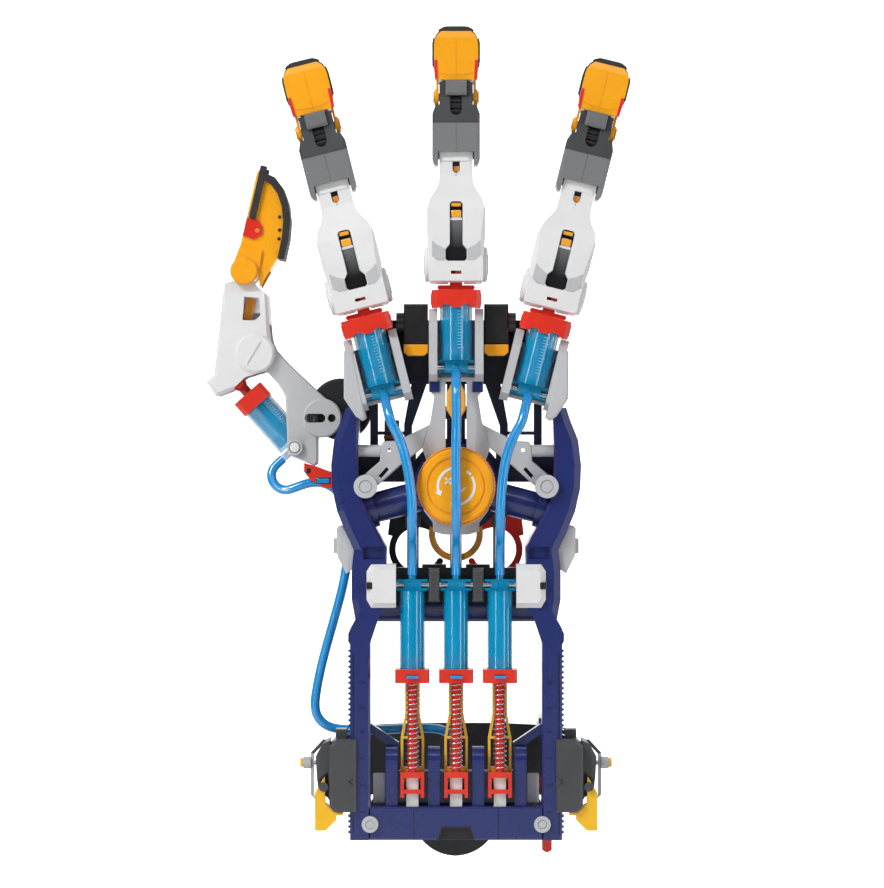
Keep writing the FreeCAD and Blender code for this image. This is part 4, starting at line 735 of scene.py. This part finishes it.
def figure_mark(name, text, x, z):
    """A raised figure on the front of a rail, reading up the rail."""
    curve = bpy.data.curves.new(name, "FONT")
    curve.body = text
    curve.size = FIGURE_SIZE * MM
    curve.extrude = 0.12 * MM
    curve.align_x = "CENTER"
    curve.align_y = "CENTER"
    maker = bpy.data.objects.new(name + "_maker", curve)
    scene.collection.objects.link(maker)
    bpy.context.view_layer.update()
    mesh = bpy.data.meshes.new_from_object(maker.evaluated_get(bpy.context.evaluated_depsgraph_get()))
    bpy.data.objects.remove(maker)
    mesh.name = name
    mesh.transform(Matrix.Translation(point(x, RAIL_FACE, z)) @ Matrix.Rotation(math.radians(90), 4, "X")
                   @ Matrix.Rotation(math.radians(90), 4, "Z"))
    return add(name, mesh, NAVY_MARK, "frame")


for k, z in enumerate(RAIL_FIGURES, 1):
    for side, word in SIDES:
        figure_mark(f"rail_figure_{k}_{word}", str(k), side * RAIL_MARK_X, z)
for side, word in SIDES:
    for k, rise in enumerate((1, -1)):
        centre = (side * POINTER_PLACE[0], POINTER_PLACE[1] + rise * POINTER_RISE)
        bar_mark(f"slider_pointer_{word}_{k}", centre, 2.8, 0.4, -side * rise * POINTER_LEAN, SLIDER_FACE,
                 GREY_MARK, "cuff")
    disc(f"bail_cap_{word}", 2.2, 0, 1.6, (side * 76.2, 1.2, 37), (side, 0, 0), YELLOW, "cuff")
    disc(f"bail_pin_{word}", 1.2, 0, 3.6, (side * 66.6, -1.5, 41.6), Z_AXIS, AMBER, "cuff", steps=24)


# ---- details on the fingers -----------------------------------------------------------------
def both_halves(right):
    """A closed outline from its right half, mirrored at x = 0."""
    return right + [(-x, z) for x, z in reversed(right)]


KEYHOLE_LINK = both_halves([(4.1, 1.2), (5.1, 2.3), (5.1, 6.7), (3.0, 9.3), (3.0, 21.4)])
NECK_PAD = both_halves([(7.6, MID_PIVOT - 3.6), (6.6, MID_PIVOT - 1.4)])
TIP_CROSS_SEAM = both_halves([(4, TIP_PIVOT + 10.2), (8.9, TIP_PIVOT + 11.2), (8.9, TIP_PIVOT + 11.5),
                              (4, TIP_PIVOT + 10.5)])
# grey bands on the white shell above the lip: painted shade where the shell turns from the light
SHELL_SHADE_BAND = [(12.0, 3.5), (9.2, 1.4), (5.6, 1.4), (5.6, 7.2), (9.0, 8.8), (12.0, 11.2)]
TIP_INSERT = [(8.9, 8.2), (10.6, 8.2), (11.0, 13.6), (10.9, 17.8), (9.3, 17.8)]
# name, link, half width, y from and to, z from and to, material, edge
FINGER_BLOCKS = (
    ("link_plate", "base", 2.9, -13.1, -12.2, 21.3, 22.6, WHITE, 0.2),
    ("link_eye", "base", 2.6, -12.8, -9.4, 22.7, 26.4, AMBER, 0.7),
    ("link_top", "base", 2.4, -11.8, -9.0, 28.2, 30.0, AMBER, 0.3),
    ("link_shadow", "base", 3.0, -8.8, -8.2, 20.0, 30.4, DARK, 0.1),
    ("slot_pin", "base", 1.6, -6.2, -4.6, 45.8, 48.6, BRONZE, 0.3),
    ("slot_shadow", "base", 1.7, -5.6, -4.5, 45.4, 50.8, DARK, 0.1),
    ("shell_seam", "base", 0.12, -7.62, -7.3, 39.5, 44.9, LINE, 0),
    ("mid_seam", "mid", 0.13, -10.56, -10.3, 56.0, 70.2, LINE, 0),
    ("tip_seam", "end", 0.11, -7.60, -7.3, TIP_PIVOT + 8.3, TIP_PIVOT + 28.6, BRONZE, 0),
)
# name, link, profile of (radius, height), distance from the middle, height of the hinge, material, steps
HINGE_CAPS = (
    ("ear", "end", [(0, 0), (2.4, 0), (2.4, 0.5), (3.2, 0.5), (3.2, 0.9), (0, 0.9)], 10.5, TIP_PIVOT,
     AMBER, 32),
    ("mid_cap", "mid", [(0, 0), (3.4, 0), (3.9, -0.5), (3.9, -0.9), (0, -0.9)], 11.75, MID_PIVOT, GREY, 32),
    ("knuckle_cap", "base", [(0, 0), (4.8, 0), (5.2, -0.4), (5.2, -0.8), (0, -0.8)], 16.1, 0, LIGHT, 40),
)


def finger_details(name):
    """Everything seen in and on one finger's three links, in the finger's own frame."""
    where = placed(name)
    up = (where(0, 0, 1) - where(0, 0, 0)).normalized()
    base, mid, end = (f"{name}_{link}_link" for link in ("base", "mid", "end"))
    fade = plastic(f"{name}_pull_link_plastic", (0.16, 0.162, 0.17), 0.25, wear_and_highlight=0, coat=0.3,
                   split=((0.010, 0.010, 0.011), where(0, 0, 14.0), -up), reach=0.007)
    plate(f"{name}_pull_link", KEYHOLE_LINK, -12.9, -12.3, fade, base, name, 0.1)
    for part, link, half, y0, y1, z0, z1, material, edge in FINGER_BLOCKS:
        block(f"{name}_{part}", -half, half, y0, y1, z0, z1, material, f"{name}_{link}_link", name, edge)
    block(f"{name}_vent_pin", -0.2, 2.4, -13.6, -12.6, -5.3, -3.9, RED, base, name, 0.2)
    plate(f"{name}_neck_pad", NECK_PAD, -8.0, -7.0, WHITE, base, name, 0.35)
    plate(f"{name}_tip_cross_seam", TIP_CROSS_SEAM, -7.62, -7.3, BRONZE, end, name, 0)
    for k in range(3):
        disc(f"{name}_sinew_{k}", 2.1, -2.9, 2.9, (0, -4.9, 75.6 + 3.2 * k), X_AXIS, DARK, mid, name, 20)
    for side, word in SIDES:
        # grey band above the lip on each side of the shell: painted shade
        band = [(side * x, z) for x, z in SHELL_SHADE_BAND]
        plate(f"{name}_band_{word}", band, -15.25, -14.8, LIGHT, base, name, 0.15)
        insert = [(side * x, TIP_PIVOT + z) for x, z in TIP_INSERT]
        plate(f"{name}_tip_insert_{word}", insert, -7.9, -3.2, RED, end, name, 0.2)
        for part, link, profile, reach, height, material, steps in HINGE_CAPS:
            lathe(f"{name}_{part}_{word}", profile, (side * reach, 0, height), (side, 0, 0), material,
                  f"{name}_{link}_link", name, steps)


for name in KNUCKLES:
    finger_details(name)


# ---- details on the thumb -------------------------------------------------------------------
THUMB_INSERT = [(-4.9, 17.2), (1.2, 16.4), (4.7, 19.8), (4.2, 23.8), (1.4, 26.6), (-4.9, 26.6)]
INSERT_FACE, INSERT_DEPTH = 9.6, 0.9
THUMB_RIBS = ((12.6, 24.2), (13.3, 19.8), (11.2, 30.6))
THUMB_INNER_LINK = [(-108.6, 255.2), (-104.4, 253.0), (-100.6, 268.0), (-104.8, 272.2)]

for side, word in ((-1, "front"), (1, "back")):
    y0, y1 = side_span(side, INSERT_FACE, INSERT_FACE + INSERT_DEPTH)
    plate(f"thumb_insert_{word}", THUMB_INSERT, y0, y1, RED, "thumb_end_link", "thumb", 0.2)
    hole = (1.9, side * (INSERT_FACE + INSERT_DEPTH + 0.05), 21.4)
    disc(f"thumb_insert_hole_{word}", 1.15, 0, 0.25, hole, (0, side, 0), BRONZE, "thumb_end_link", "thumb", 20)
for k, (x, z) in enumerate(THUMB_RIBS):
    disc(f"thumb_rib_{k}", 0.9, -9.9, 9.9, (x, 0, z), Y_AXIS, DARK, "thumb_end_link", "thumb", 16)
plate("thumb_link", THUMB_INNER_LINK, THUMB_Y - 9.4, THUMB_Y - 5, BRONZE, "thumb_base_link", bevel=0.6)


# ---- details on the frame -------------------------------------------------------------------
# outline of a black sheet in the bar's notch: painted shade on what is seen through it
BAR_NOTCH = both_halves([(9.2, 0.1), (7.1, 6.2)])
BAR_NOTCH_LIP = both_halves([(6.7, 6.1), (8.9, 0.0), (9.6, 0.0), (7.3, 6.9)])
TRUNNION_FACE = THUMB_Y - 14.6
TRUNNION_GROOVE = [(2.5, -0.2), (2.5, 0.08), (3.0, 0.08), (3.0, -0.2)]
SCREW_PROFILE = [(0, 0), (2.9, 0), (2.9, 0.8), (1.2, 0.8), (1.2, 0.3), (0, 0.3)]
OUTWARD = (0, -1, 0)
# name, x from and to, y from and to, z from and to, material, edge
FRAME_BLOCKS = (
    # the rear bracket is an orange part painted dark brown: painted shade
    ("rear_bracket", -36.0, -28.5, 13.0, 16.5, 193.0, 208.0, SHADED_ORANGE, 0.4),
    ("rear_bracket_rib", -36.4, -28.1, 12.4, 13.2, 198.6, 200.2, BRONZE, 0.3),
    ("clip_window", -70.4, -63.0, 11.6, 12.3, 175.8, 179.4, DARK, 0.3),
    ("clip_window_tube", -69.8, -63.6, 11.4, 12.0, 176.4, 178.6, TUBE, 0.3),
    ("clip_slot", -75.2, -73.2, 11.6, 12.3, 181.2, 184.0, DARK, 0.2),
    ("lock_backing", -9.0, 9.0, -4.6, -2.0, 208.4, 214.8, DARK, 0.3),
)
# name, x from and to, y from and to, z from and to, material, edge: one on each side
PAIRED_BLOCKS = (
    ("block_notch", 41.2, 44.6, -17.6, -10.0, 124.2, 127.8, DARK, 0.4),
    ("side_panel", 35.4, 41.4, -3.4, -1.0, 17.4, 32.0, LIGHT, 0.3),
    ("bracket_cap", 8.0, 13.4, -9.9, -8.8, 221.6, 227.2, NAVY, 0.3),
)

for part, *box, material, edge in FRAME_BLOCKS:
    block(part, *box, material, "frame", bevel=edge)
for part, near, far, *box, material, edge in PAIRED_BLOCKS:
    for side, word in SIDES:
        block(f"{part}_{word}", *side_span(side, near, far), *box, material, "frame", bevel=edge)
# black sheet in the notch: painted shade
plate("bar_notch", BAR_NOTCH, -12.3, -11.5, DARK, "frame", bevel=0.1)
plate("bar_notch_lip", BAR_NOTCH_LIP, -14.3, -13.6, NAVY_DARK, "frame", bevel=0.15)
for name, x in FEED_X.items():
    block(f"{name}_collar_window", x - 2.9, x + 2.9, -18.2, -17.4, 80.3, 81.7, TUBE, "frame", bevel=0.2)

ring = (THUMB_FOOT[0], TRUNNION_FACE + 0.05, THUMB_FOOT[1])
disc("thumb_trunnion_ring", 2.5, 0, 0.35, ring, OUTWARD, WHITE, "frame", steps=40)
groove = (THUMB_FOOT[0], TRUNNION_FACE, THUMB_FOOT[1])
lathe("thumb_trunnion_groove", TRUNNION_GROOVE, groove, OUTWARD, LINE, "frame", steps=40, closed=True)
lathe("thumb_slot_screw", SCREW_PROFILE, (-72.2, THUMB_Y - 12.6, 209), OUTWARD, DARK, "frame", steps=32)
disc("thumb_bracket_dowel", 1.9, 0, 0.4, (-62.4, THUMB_Y - 9.6, 209), OUTWARD, DARK, "frame", steps=24)


# ---- studio ---------------------------------------------------------------------------------
def stage_material():
    """Pale paper that glows behind the object and not in front of it."""
    material, tree, shader = new_material("pale_backdrop")
    coords = tree.nodes.new("ShaderNodeTexCoord").outputs["Object"]
    cloudy = noise(tree, coords, 1.2, 2.0)
    ramp = tree.nodes.new("ShaderNodeValToRGB")
    ramp.color_ramp.elements[0].color = (0.90, 0.90, 0.90, 1)
    ramp.color_ramp.elements[1].color = (0.94, 0.94, 0.94, 1)
    tree.links.new(cloudy.outputs["Fac"], ramp.inputs["Fac"])
    tree.links.new(ramp.outputs["Color"], shader.inputs["Base Color"])
    shader.inputs["Roughness"].default_value = 0.9
    tree.links.new(ramp.outputs["Color"], shader.inputs["Emission Color"])
    parts = tree.nodes.new("ShaderNodeSeparateXYZ")
    tree.links.new(coords, parts.inputs["Vector"])
    glow = remap(tree, parts.outputs["Y"], 0.15, 0.6, 0.0, 0.95)
    tree.links.new(glow, shader.inputs["Emission Strength"])
    return material


FLOOR_DROP, FLOOR_NEAR, FLOOR_FAR, CURVE, WALL_TOP, HALF_WIDTH = 0.10, -3.0, 2.2, 0.8, 1.7, 1.1


def backdrop():
    """Pale floor that curves up into a wall behind the object."""
    profile = [(FLOOR_NEAR, 0.0), (FLOOR_FAR, 0.0)]
    for k in range(1, 13):
        a = math.pi / 2 * k / 12
        profile.append((FLOOR_FAR + CURVE * math.sin(a), CURVE - CURVE * math.cos(a)))
    profile.append((FLOOR_FAR + CURVE, WALL_TOP))
    floor = cad_box[0][2] - FLOOR_DROP
    bm = bmesh.new()
    rows = [[bm.verts.new((x, y, floor + z)) for x in (-HALF_WIDTH, HALF_WIDTH)] for y, z in profile]
    for low, high in zip(rows, rows[1:]):
        bm.faces.new((low[0], low[1], high[1], high[0]))
    mesh = bpy.data.meshes.new("backdrop")
    bm.to_mesh(mesh)
    bm.free()
    smooth(mesh)
    mesh.materials.append(stage_material())
    wall = bpy.data.objects.new("backdrop", mesh)
    scene.collection.objects.link(wall)


backdrop()


def softbox(name, place, target, size, power):
    data = bpy.data.lights.new(name, "AREA")
    data.shape = "RECTANGLE"
    data.size, data.size_y = size
    data.energy = power
    lamp = bpy.data.objects.new(name, data)
    scene.collection.objects.link(lamp)
    lamp.location = place
    lamp.rotation_euler = (Vector(target) - Vector(place)).to_track_quat("-Z", "Y").to_euler()


CENTRE = (0.0, -0.05, 0.2)
# name, place, what it points at, width and height, watts
for lamp in (
        ("key", (-1.1, -1.1, 1.3), CENTRE, (0.5, 0.5), 18.5),
        ("fill", (1.3, -1.5, 0.3), CENTRE, (0.4, 0.9), 4.6),
        ("strip_left", (-1.0, -1.3, 0.3), CENTRE, (0.06, 1.5), 5.5),
        ("strip_right", (1.2, -0.2, 0.3), CENTRE, (0.12, 1.5), 4),
        ("strip_top", (0.1, -1.2, 1.25), CENTRE, (1.4, 0.07), 2.6),
        ("low_glare", (-0.05, -1.62, -0.17), (-0.03, -0.07, 0.01), (0.05, 0.08), 0.8),
        ("wall_light", (0.0, 1.2, 2.0), (0.0, 2.7, 0.4), (2.4, 0.6), 16)):
    softbox(*lamp)


def studio_world():
    """Bright overhead, dim below and behind the camera."""
    world = bpy.data.worlds.new("studio")
    world.use_nodes = True
    tree = world.node_tree
    direction = tree.nodes.new("ShaderNodeTexCoord").outputs["Generated"]
    parts = tree.nodes.new("ShaderNodeSeparateXYZ")
    tree.links.new(direction, parts.inputs["Vector"])
    height = remap(tree, parts.outputs["Z"], -0.4, 0.9, 0.03, 0.42)
    front = remap(tree, parts.outputs["Y"], -1.0, 0.3, 0.35, 1.0)
    strength = tree.nodes.new("ShaderNodeMath")
    strength.operation = "MULTIPLY"
    tree.links.new(height, strength.inputs[0])
    tree.links.new(front, strength.inputs[1])
    background = tree.nodes["Background"]
    background.inputs["Color"].default_value = (1.0, 1.0, 1.0, 1.0)
    tree.links.new(strength.outputs["Value"], background.inputs["Strength"])
    scene.world = world


studio_world()
scene.view_settings.view_transform = "Standard"
